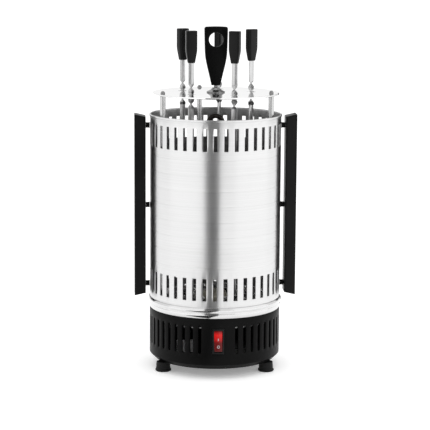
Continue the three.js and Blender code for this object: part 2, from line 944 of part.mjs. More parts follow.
function liftingHandle() {
  const top = handleBottom + handleHeight;
  const right = handleFlank.map(([half, share]) => [half, handleBottom + share * handleHeight]);
  const crown = right.at(-1)[0] - handleCorner;
  right.push([crown, top]);
  const left = right.map(([x, z]) => [-x, z]).reverse();
  const outline = new THREE.Shape([...right, ...left].map(([x, z]) => new THREE.Vector2(x, z)));
  const hole = new THREE.Path();
  hole.absarc(0, top - handleHoleDrop, handleHoleRadius, 0, 2 * Math.PI, true);
  outline.holes.push(hole);
  const bore = rod(studRadius + seat, handleBottom - 1, handleBottom + studInHandle + 1, 16);
  return cut(slab(outline, handleThickness, handleRounding, 5), bore);
}

// ---- Casing ----------------------------------------------------------------------------------

function casing() {
  const facet = 180 / slotCount;
  const inner = casingRadius - casingWall;
  const hem = casingRadius + hemOutward;
  const tube = turned(
    [
      [casingRadius, casingBottom],
      [casingRadius, casingTop - hemHeight],
      [hem, casingTop - hemHeight * 0.75],
      [hem, casingTop - hemHeight * 0.25],
      [casingRadius, casingTop],
      [inner, casingTop],
      [inner, casingBottom],
    ],
    2 * slotCount,
    90 + slotPhase + facet / 2,
  );
  const rows = [casingBottom + lowSlotRise, casingTop - highSlotDrop - slotHeight];
  const slots = rows.flatMap((bottom) =>
    spread(slotCount, 0, slotPhase).map(([, , degrees]) => {
      const tool = block(
        [inner - 2, -slotWidth / 2, bottom],
        [casingRadius + 2, slotWidth / 2, bottom + slotHeight],
      );
      tool.rotateZ(radians(degrees));
      return tool;
    }),
  );
  return cut(tube, ...slots);
}

const boardInner = casingRadius + boardGap;
const boardOuter = boardInner + boardDepth;

// Handle board with ends that slope outward, seen from the side.
function handleBoard() {
  const top = casingTop - boardTopDrop;
  const bottom = casingBottom + boardBottomRise;
  const outline = new THREE.Shape();
  outline.moveTo(boardInner, bottom);
  outline.lineTo(boardOuter, bottom - boardMitre);
  outline.lineTo(boardOuter, top + boardMitre);
  outline.lineTo(boardInner, top);
  outline.closePath();
  return slab(outline, boardWidth, boardRounding);
}

function sleeve() {
  const profile = [
    [1.5, casingRadius + seat],
    [sleeveRadius, casingRadius + seat],
    [sleeveRadius, boardInner - seat],
    [1.5, boardInner - seat],
  ];
  const geometry = turned(profile, 14);
  geometry.rotateY(Math.PI / 2);
  return geometry;
}

// ---- Switch ----------------------------------------------------------------------------------

function switchBezel() {
  const [halfWidth, halfHeight] = bezelHalf();
  const backFace = bezelFace - bezelThickness;
  const cavity = [rockerWidth / 2 + rockerPlay / 2, rockerLength / 2 + rockerPlay];
  const bodyHalf = cavity[0] + switchWall;
  const frame = block(
    [-halfWidth, -bezelFace, switchZ - halfHeight],
    [halfWidth, -backFace, switchZ + halfHeight],
  );
  const body = block(
    [-bodyHalf, -backFace - 0.5, switchZ - switchBodyHalf],
    [bodyHalf, -backFace + switchBodyDepth, switchZ + switchBodyHalf],
  );
  const cavityDepth = rockerPivotDepth + rockerRoot + 2;
  const hollow = block(
    [-cavity[0], -bezelFace - 1, switchZ - cavity[1]],
    [cavity[0], -bezelFace + cavityDepth, switchZ + cavity[1]],
  );
  return cut(join(frame, body), hollow);
}

// Rocker in its rest position, upper half pressed in; built about its pivot.
function rocker() {
  const half = rockerLength / 2;
  const faceMiddle = rockerPivotDepth - rockerFaceDepth;
  const faceEnd = faceMiddle + half * Math.tan(radians(rockerThrow / 2));
  const outline = new THREE.Shape();
  outline.moveTo(faceEnd, half);
  outline.lineTo(faceMiddle, 0);
  outline.lineTo(faceEnd, -half);
  outline.lineTo(0.5, -half + 0.5);
  outline.lineTo(-rockerRoot, -half / 2);
  outline.lineTo(-rockerRoot, half / 2);
  outline.lineTo(0.5, half - 0.5);
  outline.closePath();
  const geometry = slab(outline, rockerWidth, 0.4);
  geometry.rotateZ(-Math.PI / 2);
  geometry.rotateX(radians(-rockerThrow / 2));
  return geometry;
}

// ---- Assembly --------------------------------------------------------------------------------

add('base_housing', housing(), blackPlastic);
add('bottom_cover', bottomCover(), blackPlastic);
footAngles.forEach((degrees, i) => {
  add(`foot_${i + 1}`, foot(), rubber, [...onCircle(housingRadius - footInset, degrees), 0]);
});
add('drip_pan', dripPan(), polishedSteel);
add('gear_deck', gearDeck(), zincSteel);
add('gear_hub', gearHub(), nylon);
add('gear_motor', gearMotor(), zincSteel);
add('motor_pinion', motorPinion(), nylon, [...onCircle(pinionCircle, pinionAngle), 0],
  meshPhase(pinionAngle, pinionTeeth));
add('ring_gear', gear(ringTeeth, hubOuter + seat, 10), nylon, [0, 0, gearBottom], spindlePhase);

spread(spindleCount, spindleCircle, spindlePhase).forEach(([x, y, degrees], i) => {
  const turn = skewerTurns[i];
  add(`spindle_gear_${i + 1}`, gear(spindleTeeth, shaftRadius + seat, 6), nylon,
    [x, y, gearBottom], meshPhase(degrees, spindleTeeth));
  add(`drip_cup_${i + 1}`, dripCup(), polishedSteel, [x, y, 0], turn);
  add(`skewer_blade_${i + 1}`, skewerBlade(), turnedSteel, [x, y, 0], turn);
  add(`skewer_grip_${i + 1}`, skewerGrip(), glossBlack, [x, y, 0], turn);
});

add('heater_base', heaterBase(), ceramic);
add('heater_element', heaterTube(), heaterSteel);
postPlaces.forEach(([x, y], i) => {
  add(`post_${i + 1}`, post(), turnedSteel, [x, y, 0]);
  add(`post_nut_${i + 1}`, domedNut(), polishedSteel, [x, y, 0]);
});
add('top_disc', topDisc(), polishedSteel);
add('cone_washer', coneWasher(), polishedSteel);
add('handle_stud', handleStud(), turnedSteel);
add('lifting_handle', liftingHandle(), glossBlack);

add('casing', casing(), brushedSteel);
[['right', 0], ['left', 180]].forEach(([side, degrees]) => {
  add(`side_handle_${side}`, handleBoard(), blackPlastic, [0, 0, 0], degrees);
  const low = casingBottom + sleeveRise;
  const high = casingTop - sleeveInset;
  [high, (low + high) / 2, low].forEach((height, i) => {
    add(`handle_sleeve_${side}_${i + 1}`, sleeve(), blackPlastic, [0, 0, height], degrees);
  });
});

add('switch_bezel', switchBezel(), blackPlastic);
add('switch_rocker', rocker(), redPlastic, [0, -(bezelFace - rockerPivotDepth), switchZ]);
add('cord_gland', gland(), blackPlastic);
const terminalFloor = housingBottom + coverThickness + 2 * seat;
add('terminal_block', block(
  [terminalPlace[0] - terminalLength / 2, terminalPlace[1] - terminalDepth / 2, terminalFloor],
  [
    terminalPlace[0] + terminalLength / 2,
    terminalPlace[1] + terminalDepth / 2,
    terminalFloor + terminalHeight,
  ],
), nylon);

export default grill;
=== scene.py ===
import json
import math

import bmesh
import bpy
from mathutils import Matrix, Vector


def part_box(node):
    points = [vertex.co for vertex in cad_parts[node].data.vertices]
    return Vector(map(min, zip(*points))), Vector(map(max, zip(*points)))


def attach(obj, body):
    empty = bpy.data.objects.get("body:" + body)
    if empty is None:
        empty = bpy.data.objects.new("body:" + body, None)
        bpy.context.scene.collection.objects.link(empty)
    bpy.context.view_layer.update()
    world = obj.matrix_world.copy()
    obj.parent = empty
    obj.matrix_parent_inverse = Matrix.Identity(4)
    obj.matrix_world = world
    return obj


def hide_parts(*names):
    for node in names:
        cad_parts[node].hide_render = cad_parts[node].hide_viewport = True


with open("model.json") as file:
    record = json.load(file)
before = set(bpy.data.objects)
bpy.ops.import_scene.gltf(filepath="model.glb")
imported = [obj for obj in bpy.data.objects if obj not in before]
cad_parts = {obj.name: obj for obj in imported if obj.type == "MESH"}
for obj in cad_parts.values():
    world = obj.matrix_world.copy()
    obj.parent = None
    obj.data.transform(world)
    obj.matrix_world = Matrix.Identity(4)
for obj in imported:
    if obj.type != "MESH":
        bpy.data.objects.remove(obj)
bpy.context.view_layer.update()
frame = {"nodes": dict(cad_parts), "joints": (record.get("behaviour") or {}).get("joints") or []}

MM = 0.001
scene = bpy.context.scene


# ---- Places, read from the frame (millimetres) ----


def low(node):
    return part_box(node)[0] / MM


def high(node):
    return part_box(node)[1] / MM


def middle(node):
    return (low(node) + high(node)) / 2


def half_width(node):
    return (high(node).x - low(node).x) / 2


def numbered(stem):
    """The CAD nodes called stem_1, stem_2 and so on."""
    return sorted(n for n in frame["nodes"] if n.rsplit("_", 1)[0] == stem and n[-1].isdigit())


# ---- Mesh helpers ----


def shade(mesh, sharp):
    """Smooth shading, except across edges sharper than that many degrees."""
    mesh.shade_smooth()
    mesh.set_sharp_from_angle(angle=math.radians(sharp))


def face_outward(mesh, weld=0.0):
    """Turns the faces outward, after joining points closer than weld, in metres."""
    bm = bmesh.new()
    bm.from_mesh(mesh)
    if weld:
        bmesh.ops.remove_doubles(bm, verts=bm.verts, dist=weld)
    bmesh.ops.recalc_face_normals(bm, faces=bm.faces)
    bm.to_mesh(mesh)
    bm.free()


def link(name, mesh, sharp=35):
    obj = bpy.data.objects.new(name, mesh)
    scene.collection.objects.link(obj)
    shade(mesh, sharp)
    return obj


def build(name, shape, sharp=35):
    """An object from (points in millimetres, faces), with its faces turned outward."""
    points, faces = shape
    mesh = bpy.data.meshes.new(name)
    mesh.from_pydata([Vector(p) * MM for p in points], [], faces)
    face_outward(mesh)
    return link(name, mesh, sharp)


def place(obj, body, slot, look, *replaced):
    """Gives obj its look and body, and hides the CAD nodes it replaces; slot is not used."""
    obj.data.materials.clear()
    obj.data.materials.append(look.material)
    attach(obj, body)
    if replaced:
        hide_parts(*replaced)


def on_circle(radius, degrees, height):
    angle = math.radians(degrees)
    return (radius * math.cos(angle), radius * math.sin(angle), height)


def lathe(profile, segments=96, centre=(0, 0), looped=False):
    """Points and faces of a (radius, height) profile turned about an upright axis."""
    points, rings = [], []
    for radius, height in profile:
        if radius < 1e-6:
            rings.append([len(points)])
            points.append((centre[0], centre[1], height))
            continue
        rings.append(list(range(len(points), len(points) + segments)))
        for i in range(segments):
            angle = 2 * math.pi * i / segments
            x = centre[0] + radius * math.cos(angle)
            y = centre[1] + radius * math.sin(angle)
            points.append((x, y, height))
    pairs = list(zip(rings, rings[1:]))
    if looped:
        pairs.append((rings[-1], rings[0]))
    faces = []
    for a, b in pairs:
        for i in range(segments):
            j = (i + 1) % segments
            corners = [a[i % len(a)], a[j % len(a)], b[j % len(b)], b[i % len(b)]]
            face = list(dict.fromkeys(corners))
            if len(face) > 2:
                faces.append(face)
    return points, faces


def fillet(profile, radius, steps=4, looped=False):
    """A polyline with each corner replaced by an arc of at most that radius."""
    count = len(profile)
    rounded = []
    for i, point in enumerate(profile):
        if not looped and i in (0, count - 1):
            rounded.append(tuple(point))
            continue
        here = Vector(point)
        back = Vector(profile[i - 1]) - here
        ahead = Vector(profile[(i + 1) % count]) - here
        turn = back.angle(ahead)
        if turn > math.radians(176):
            rounded.append(tuple(point))
            continue
        reach = min(radius / math.tan(turn / 2), 0.45 * back.length, 0.45 * ahead.length)
        start = here + back.normalized() * reach
        end = here + ahead.normalized() * reach
        for k in range(steps + 1):
            t = k / steps
            bent = start * (1 - t) ** 2 + here * 2 * t * (1 - t) + end * t * t
            rounded.append(tuple(bent))
    return rounded


def bulge(start, end, outward, steps=10):
    """Points from start to end of a profile, pushed out in radius by half a sine wave."""
    points = []
    for k in range(steps + 1):
        t = k / steps
        radius = start[0] + (end[0] - start[0]) * t + outward * math.sin(math.pi * t)
        points.append((radius, start[1] + (end[1] - start[1]) * t))
    return points


def loft(rings):
    """Points and faces through rings of equally many points, capped at both ends."""
    count = len(rings[0])
    points = [p for ring in rings for p in ring]
    faces = []
    for r in range(len(rings) - 1):
        for i in range(count):
            j = (i + 1) % count
            faces.append([r * count + i, r * count + j, (r + 1) * count + j, (r + 1) * count + i])
    faces.append(list(range(count))[::-1])
    faces.append(list(range(len(points) - count, len(points))))
    return points, faces


def merged(*shapes):
    """Several shapes as one."""
    points, faces = [], []
    for shape_points, shape_faces in shapes:
        offset = len(points)
        points += shape_points
        faces += [[i + offset for i in face] for face in shape_faces]
    return points, faces


def transformed(shape, matrix):
    """A shape with all its points moved by a matrix."""
    points, faces = shape
    return [tuple(matrix @ Vector(p)) for p in points], faces


def box_shape(corner, opposite):
    """Points and faces of a box, from its lowest to its highest corner."""
    (x0, y0, z0), (x1, y1, z1) = corner, opposite
    points = [(x, y, z) for z in (z0, z1) for y in (y0, y1) for x in (x0, x1)]
    faces = [[0, 2, 3, 1], [4, 5, 7, 6], [0, 1, 5, 4], [2, 6, 7, 3], [0, 4, 6, 2], [1, 3, 7, 5]]
    return points, faces


def moved(place_at, angle, axis):
    """Matrix that turns about an axis through the origin, then moves."""
    return Matrix.Translation(place_at) @ Matrix.Rotation(angle, 4, axis)


def cylinder(radius, bottom, top, segments, centre=(0, 0)):
    return lathe([(0, bottom), (radius, bottom), (radius, top), (0, top)], segments, centre)


def hexagon(radius, height, start=0, centre=(0, 0)):
    """Corners of a level hexagon, the first at start degrees."""
    corners = [on_circle(radius, 60 * i + start, height) for i in range(6)]
    return [(x + centre[0], y + centre[1], z) for x, y, z in corners]


def evaluated_mesh(obj):
    """obj's mesh with its modifiers applied."""
    graph = bpy.context.evaluated_depsgraph_get()
    return bpy.data.meshes.new_from_object(obj.evaluated_get(graph))


def carve(obj, shape, sharp=35):
    """Cuts a closed shape out of obj and leaves a plain mesh."""
    tool = build("tool", shape)
    cutter = obj.modifiers.new("cut", "BOOLEAN")
    cutter.operation = "DIFFERENCE"
    cutter.solver = "EXACT"
    cutter.object = tool
    mesh = evaluated_mesh(obj)
    obj.modifiers.clear()
    obj.data = mesh
    bpy.data.objects.remove(tool)
    shade(mesh, sharp)


def soften(obj, width, segments=2, angle=35):
    """Rounds obj's edges by a bevel of that width in millimetres."""
    bevel = obj.modifiers.new("soften", "BEVEL")
    bevel.width = width * MM
    bevel.segments = segments
    bevel.limit_method = "ANGLE"
    bevel.angle_limit = math.radians(angle)
    bevel.harden_normals = False
    return obj


def thicken(obj, thickness):
    """Gives a sheet its thickness, towards its inside."""
    solid = obj.modifiers.new("thicken", "SOLIDIFY")
    solid.thickness = thickness * MM
    solid.offset = -1
    solid.use_even_offset = True


def slab(name, outlines, thickness, rounding, resolution=3):
    """Outlines in X and Z (holes after the first), filled to a thickness along Y, edges rounded."""
    curve = bpy.data.curves.new(name, "CURVE")
    curve.dimensions = "2D"
    curve.fill_mode = "BOTH"
    for outline in outlines:
        spline = curve.splines.new("POLY")
        spline.points.add(len(outline) - 1)
        for point, (x, z) in zip(spline.points, outline):
            point.co = (x * MM, z * MM, 0, 1)
        spline.use_cyclic_u = True
    curve.bevel_depth = rounding * MM
    curve.bevel_resolution = resolution
    curve.offset = -rounding * MM
    curve.extrude = (thickness / 2 - rounding) * MM
    holder = bpy.data.objects.new(name + "_curve", curve)
    scene.collection.objects.link(holder)
    mesh = evaluated_mesh(holder)
    bpy.data.objects.remove(holder)
    mesh.transform(Matrix.Rotation(math.pi / 2, 4, "X"))
    face_outward(mesh, 1e-6)
    return link(name, mesh, 30)


def stand(obj, node, degrees):
    """Turns obj by degrees and moves it from the origin onto the node's upright axis."""
    centre = Vector((*middle(node)[:2], 0))
    obj.data.transform(moved(centre * MM, math.radians(degrees), "Z"))


def arc(centre, radius, start, end, steps=8):
    """Points of a circular arc, in degrees."""
    points = []
    for k in range(steps + 1):
        angle = math.radians(start + (end - start) * k / steps)
        points.append((centre[0] + radius * math.cos(angle), centre[1] + radius * math.sin(angle)))
    return points


def smooth_line(points, steps=6):
    """A Catmull-Rom curve through the points."""
    ends = [points[0], *points, points[-1]]
    line = []
    for p0, p1, p2, p3 in zip(ends, ends[1:], ends[2:], ends[3:]):
        a, b, c, d = (Vector(p) for p in (p0, p1, p2, p3))
        for k in range(steps):
            t = k / steps
            bent = 2 * b + (c - a) * t + (2 * a - 5 * b + 4 * c - d) * t**2
            bent += (3 * b - a - 3 * c + d) * t**3
            line.append(tuple(bent / 2))
    line.append(tuple(points[-1]))
    return line


# ---- Materials ----


class Look:
    """A Principled material with a few procedural inputs."""

    def __init__(self, name, **sockets):
        self.material = bpy.data.materials.new(name)
        self.material.use_nodes = True
        self.nodes = self.material.node_tree.nodes
        self.shader = self.set_inputs(self.nodes["Principled BSDF"], sockets)

    @staticmethod
    def set_inputs(node, sockets):
        for socket, value in sockets.items():
            node.inputs[socket.replace("_", " ")].default_value = value
        return node

    def add(self, kind, **sockets):
        """A new node with some of its inputs set."""
        return self.set_inputs(self.nodes.new("ShaderNode" + kind), sockets)

    def wire(self, output, node, socket):
        self.material.node_tree.links.new(output, node.inputs[socket])

    def noise(self, scale, detail=3, roughness=0.5):
        """Noise on object coordinates; scale is one number or (x, y, z), per metre."""
        coordinates = self.add("TexCoord")
        mapping = self.add("Mapping", Scale=scale if isinstance(scale, tuple) else (scale,) * 3)
        texture = self.add("TexNoise", Scale=1, Detail=detail, Roughness=roughness)
        self.wire(coordinates.outputs["Object"], mapping, "Vector")
        self.wire(mapping.outputs["Vector"], texture, "Vector")
        return texture.outputs["Fac"]

    def ramp(self, value, stops):
        """Colours over a value; stops are pairs of position and colour."""
        node = self.add("ValToRGB")
        ramp = node.color_ramp
        while len(ramp.elements) < len(stops):
            ramp.elements.new(0.5)
        for element, (position, colour) in zip(ramp.elements, stops):
            element.position = position
            element.color = (*colour, 1)
        self.wire(value, node, "Fac")
        return node.outputs["Color"]

    def colour(self, value, dark, light, start=0.35, end=0.65):
        self.wire(self.ramp(value, [(start, dark), (end, light)]), self.shader, "Base Color")

    def rough(self, value, smoothest, roughest, start=0.3, end=0.7):
        node = self.add("MapRange", From_Min=start, From_Max=end, To_Min=smoothest, To_Max=roughest)
        self.wire(value, node, "Value")
        self.wire(node.outputs["Result"], self.shader, "Roughness")

    def bump(self, value, depth, strength=1.0):
        """Height in millimetres."""
        node = self.add("Bump", Strength=strength, Distance=depth * MM)
        self.wire(value, node, "Height")
        earlier = self.shader.inputs["Normal"].links
        if earlier:
            self.wire(earlier[0].from_socket, node, "Normal")
        self.wire(node.outputs["Normal"], self.shader, "Normal")

    def brushed_round(self, amount):
        """Highlights stretched as by brushing round the upright axis."""
        tangent = self.add("Tangent")
        tangent.direction_type = "RADIAL"
        tangent.axis = "Z"
        self.set_inputs(self.shader, {"Anisotropic": amount, "Anisotropic Rotation": 0.25})
        self.wire(tangent.outputs["Tangent"], self.shader, "Tangent")


def grey(value):
    return (value, value, value)


def steel(name, dark, light, smoothest, roughest, grain, depth):
    """Metal with brushed streaks; grain is the streaks' frequency along X, Y and Z."""
    look = Look(name, Metallic=1.0)
    streaks = look.noise(grain, 4, 0.6)
    cloud = look.noise(14, 2)
    look.colour(streaks, grey(dark), grey(light), 0.3, 0.7)
    look.rough(cloud, smoothest, roughest)
    look.bump(streaks, depth)
    return look


def plastic(name, dark, light, roughness, grain=1400, depth=0.01, shine=0.45):
    """Moulded plastic with fine pores."""
    look = Look(name, Specular_IOR_Level=shine)
    pores = look.noise(grain, 2, 0.5)
    cloud = look.noise(22, 3)
    look.colour(cloud, grey(dark), grey(light))
    look.rough(pores, roughness - 0.06, roughness + 0.06)
    look.bump(pores, depth, 0.5)
    return look


casing_look = steel("brushed_casing", 0.635, 0.715, 0.28, 0.34, grain=(5, 5, 2600), depth=0.0015)
casing_look.brushed_round(0.75)
# Inner face: the casing's steel darkened as painted shade, for the shade inside the tube.
casing_inner_shade_look = steel("casing_inner_painted_shade", 0.25, 0.32, 0.4, 0.5, grain=(5, 5, 2600), depth=0.0015)
pan_look = steel("polished_pan", 0.64, 0.69, 0.1, 0.16, grain=(30, 30, 300), depth=0.0015)
disc_look = steel("mirror_disc", 0.78, 0.82, 0.015, 0.05, grain=(25, 25, 25), depth=0.0004)
rod_look = steel("bright_rod", 0.52, 0.6, 0.2, 0.28, grain=(60, 60, 900), depth=0.002)
strip_look = steel("rolled_strip", 0.52, 0.6, 0.28, 0.38, grain=(900, 900, 30), depth=0.004)
# Nuts and cone washer: steel darkened as a painted dark reflection.
nut_dark_reflection_look = steel("nickel_nut_painted_reflection", 0.22, 0.3, 0.2, 0.3, grain=(90, 90, 90), depth=0.002)
# Zinc plate darkened as painted shade, for the shade inside the base seen through the vents.
zinc_shaded_look = steel("zinc_plate_painted_shade", 0.2, 0.3, 0.35, 0.5, grain=(160, 160, 160), depth=0.004)
housing_look = plastic("housing_plastic", 0.003, 0.004, 0.38, depth=0.008, shine=0.06)
board_look = plastic("board_plastic", 0.005, 0.007, 0.36, depth=0.008, shine=0.1)
grip_look = plastic("grip_plastic", 0.003, 0.004, 0.34, depth=0.008, shine=0.17)
paddle_look = plastic("paddle_plastic", 0.002, 0.003, 0.3, grain=900, depth=0.004, shine=0.08)
bezel_look = plastic("bezel_plastic", 0.004, 0.005, 0.3, depth=0.006, shine=0.22)
rubber_look = plastic("foot_rubber", 0.005, 0.006, 0.5, grain=900, shine=0.16)
nylon_look = plastic("gear_nylon", 0.5, 0.58, 0.45, grain=600)
terminal_look = plastic("terminal_plastic", 0.6, 0.68, 0.5, grain=600)


def ceramic():
    look = Look("heater_ceramic", Specular_IOR_Level=0.4)
    speckle = look.noise(700, 4, 0.7)
    look.colour(speckle, (0.5, 0.46, 0.38), (0.72, 0.68, 0.58), 0.3, 0.6)
    look.rough(look.noise(60), 0.5, 0.7)
    look.bump(speckle, 0.05)
    return look


def heater_sheath():
    look = Look("heater_sheath", Metallic=0.85)
    scale = look.noise(260, 5, 0.65)
    look.colour(scale, (0.018, 0.016, 0.015), (0.075, 0.066, 0.06))
    look.rough(scale, 0.35, 0.6)
    look.bump(scale, 0.03)
    return look


def lit_red():
    """Red lens, brighter in its upper half where the lamp sits behind it."""
    look = Look("rocker_red", Coat_Weight=0.15, Coat_Roughness=0.08, Specular_IOR_Level=0.25,
                Emission_Strength=1.0)
    bottom, top = low("switch_rocker").z * MM, high("switch_rocker").z * MM
    coordinates = look.add("TexCoord")
    split = look.add("SeparateXYZ")
    height = look.add("MapRange", From_Min=bottom, From_Max=top)
    look.wire(coordinates.outputs["Object"], split, "Vector")
    look.wire(split.outputs["Z"], height, "Value")
    glow = look.ramp(height.outputs["Result"], [
        (0.0, (0.02, 0.001, 0.001)), (0.42, (0.07, 0.001, 0.001)), (0.56, (0.36, 0.002, 0.002)),
        (0.8, (0.6, 0.004, 0.003)), (0.97, (0.1, 0.001, 0.001))])
    look.wire(glow, look.shader, "Emission Color")
    cells = look.noise(500, 2)
    look.colour(cells, (0.05, 0.002, 0.002), (0.08, 0.003, 0.003))
    look.rough(cells, 0.18, 0.28)
    look.bump(cells, 0.01)
    return look


ceramic_look = ceramic()
heater_look = heater_sheath()
rocker_look = lit_red()
mark_look = plastic("mark_white", 0.4, 0.5, 0.4, grain=800, depth=0.004)


# ---- Casing ----

CASING_WALL = 0.9
SLOT_COUNT = 40
SLOT_WIDTH = 5.0
SLOT_HEIGHT = 27.5
SLOT_PHASE = -3.2
LOW_SLOT_RISE = 11.2
HIGH_SLOT_DROP = 10.5
HEM_OUTWARD = 0.9
HEM_HEIGHT = 2.6
GROOVE_COUNT = 8
GROOVE_FIRST = 51.7
GROOVE_PITCH = 18.8
GROOVE_DEPTH = 0.16
GROOVE_HALF = 1.2

casing_bottom = low("casing").z
casing_top = high("casing").z
casing_radius = high("casing").x - HEM_OUTWARD


def shell_grid(name, angles, rows, point, open_cell):
    """A closed ring of quads over angles and rows, without the cells that open_cell names."""
    points = [point(angle, row) for row in rows for angle in angles]
    count = len(angles)
    faces = []
    for r in range(len(rows) - 1):
        for i in range(count):
            j = (i + 1) % count
            if not open_cell(i, r):
                faces.append([r * count + i, r * count + j, (r + 1) * count + j, (r + 1) * count + i])
    return build(name, (points, faces))


def casing_shell():
    """Tube wall with two rows of slots and grooves pressed in between them."""
    half_slot = math.degrees(math.asin(SLOT_WIDTH / 2 / casing_radius))
    pitch = 360 / SLOT_COUNT
    between = 4  # cells across the metal between two slots
    solid = pitch - 2 * half_slot
    angles = []
    for k in range(SLOT_COUNT):
        centre = SLOT_PHASE + k * pitch
        angles += [centre - half_slot, centre]
        angles += [centre + half_slot + solid * i / between for i in range(between)]
    per_pitch = 2 + between
    low_row = casing_bottom + LOW_SLOT_RISE
    high_row = casing_top - HIGH_SLOT_DROP - SLOT_HEIGHT
    hidden_top = casing_top - HEM_HEIGHT * 0.6  # the wall ends inside the rolled bead
    rows = {casing_bottom, casing_bottom + 1, hidden_top}
    for start in (low_row, high_row):
        rows |= {start + SLOT_HEIGHT * i / 4 for i in range(5)}
    grooves = [casing_bottom + GROOVE_FIRST + g * GROOVE_PITCH for g in range(GROOVE_COUNT)]
    for groove in grooves:
        rows |= {groove + GROOVE_HALF * i / 3 for i in range(-4, 5)}
        rows.add(groove + GROOVE_PITCH / 2)
    rows = sorted(z for z in rows if z < casing_top)

    def radius_at(z):
        for groove in grooves:
            away = abs(z - groove) / GROOVE_HALF
            if away < 1:
                return casing_radius - GROOVE_DEPTH * (0.5 + 0.5 * math.cos(math.pi * away))
        return casing_radius

    def in_slot_row(z):
        return any(start - 1e-6 < z < start + SLOT_HEIGHT - 1e-6 for start in (low_row, high_row))

    shell = shell_grid("casing_shell", angles, rows,
                       lambda angle, z: on_circle(radius_at(z), angle, z),
                       lambda i, r: i % per_pitch < 2 and in_slot_row(rows[r]))
    thicken(shell, CASING_WALL)
    soften(shell, 0.14, 2, 50)
    place(shell, "casing", "casing_steel", casing_look, "casing")
    # The inner faces take the darker look, painted shade inside the tube.
    shell.data.materials.append(casing_inner_shade_look.material)
    shell.modifiers["thicken"].material_offset = 1


def casing_rim():
    """Rolled bead along the casing's top edge."""
    inner = casing_radius - CASING_WALL
    outer = casing_radius + HEM_OUTWARD
    bottom = casing_top - HEM_HEIGHT
    roll = 0.75
    profile = fillet(
        [(inner, bottom), (outer - 0.5, bottom), (outer, bottom + 0.6), (outer, casing_top),
         (inner, casing_top)], roll, 5, True)
    rim = build("casing_rim", lathe(profile, 240, looped=True), 60)
    place(rim, "casing", "casing_steel", casing_look)


def casing_seam():
    """Folded lock seam up the casing's back, between two slots."""
    middle_angle = 91.3
    half = 1.9
    raised, sunk = 0.45, 0.2
    angles = [middle_angle + half * (i / 4 - 1) for i in range(9)]
    section = [on_circle(casing_radius - sunk, angles[0], 0)]
    section += [on_circle(casing_radius + raised, a, 0) for a in angles]
    section += [on_circle(casing_radius - sunk, a, 0) for a in reversed(angles[1:])]
    heights = (casing_bottom + 0.4, casing_top - HEM_HEIGHT + 0.3)
    rings = [[(x, y, z) for x, y, _ in section] for z in heights]
    seam = soften(build("casing_seam", loft(rings)), 0.15, 2)
    place(seam, "casing", "casing_steel", casing_look)


def side_boards():
    """Handle boards with mitred ends, and each board's spacers and screws."""
    for side in ("left", "right"):
        node = f"side_handle_{side}"
        lo, hi = low(node), high(node)
        sign = 1 if side == "right" else -1
        inner, outer = (lo.x, hi.x) if sign > 0 else (hi.x, lo.x)
        mitre, corner, edge = 3.2, 0.9, 1.7
        outline = fillet(
            [(inner, lo.z + mitre), (outer, lo.z), (outer, hi.z), (inner, hi.z - mitre)],
            corner, 3, True)
        board = slab(f"handle_board_{side}", [outline], hi.y - lo.y, edge, 4)
        place(board, "casing", "handle_board_plastic", board_look, node)
        for node in numbered(f"handle_sleeve_{side}"):
            handle_sleeve(node, sign)
            wall_screw(node, sign)


def handle_sleeve(node, sign):
    """Ribbed spacer between board and casing."""
    length = high(node).x - low(node).x
    radius = (high(node).z - low(node).z) / 2
    waist = radius - 0.45
    profile = [(0, 0), (radius, 0)]
    for share in (0.3, 0.62):  # each rib groove's start along the length
        profile += [(radius, length * share), (waist, length * (share + 0.06)),
                    (waist, length * (share + 0.14)), (radius, length * (share + 0.2))]
    profile = fillet([*profile, (radius, length), (0, length)], 0.12, 2)
    start = low(node).x if sign > 0 else high(node).x
    matrix = moved((start, 0, middle(node).z), sign * math.pi / 2, "Y")
    sleeve = build(node + "_spacer", transformed(lathe(profile, 36), matrix))
    place(sleeve, "casing", "handle_board_plastic", board_look, node)


def cross_head(radius, height, name, matrix):
    """Domed screw head with a cross recess, its flat side at zero."""
    profile = [(0, 0), (radius, 0), *[(radius * math.cos(a), height * 0.35 + height * 0.65 * math.sin(a))
               for a in (0.15, 0.5, 0.9, 1.25)], (0, height)]
    head = build(name, lathe(profile, 28), 40)
    arm, width = radius * 0.62, radius * 0.16
    deep = height * 0.45
    carve(head, box_shape((-arm, -width, deep), (arm, width, height + 1)))
    carve(head, box_shape((-width, -arm, deep), (width, arm, height + 1)))
    head.data.transform(Matrix.Scale(MM, 4) @ matrix @ Matrix.Scale(1 / MM, 4))
    return head


def wall_screw(node, sign):
    """Screw head inside the casing that holds a sleeve."""
    inside = casing_radius - CASING_WALL
    matrix = moved((sign * inside, 0, middle(node).z), -sign * math.pi / 2, "Y")
    head = cross_head(3.0, 1.5, node.replace("sleeve", "screw"), matrix)
    place(head, "casing", "bright_rod", rod_look)


# ---- Base ----

HOUSING_WALL = 2.5
HOUSING_BEVEL = 6.0
VENT_WIDTH = 4.2
VENT_PITCH = 7.5
VENT_START = 16.1
VENTS_PER_SIDE = 20
VENT_BOTTOM_MARGIN = 19.5
VENT_TOP_MARGIN = 9.5
GLAND_HOLE = 5.0
BEZEL_GAP = 0.25
HEATER_FLANGE = 5.8  # how far the holder's flange stands out from its stem

housing_radius = high("base_housing").x
housing_bottom = low("base_housing").z
housing_top = high("base_housing").z


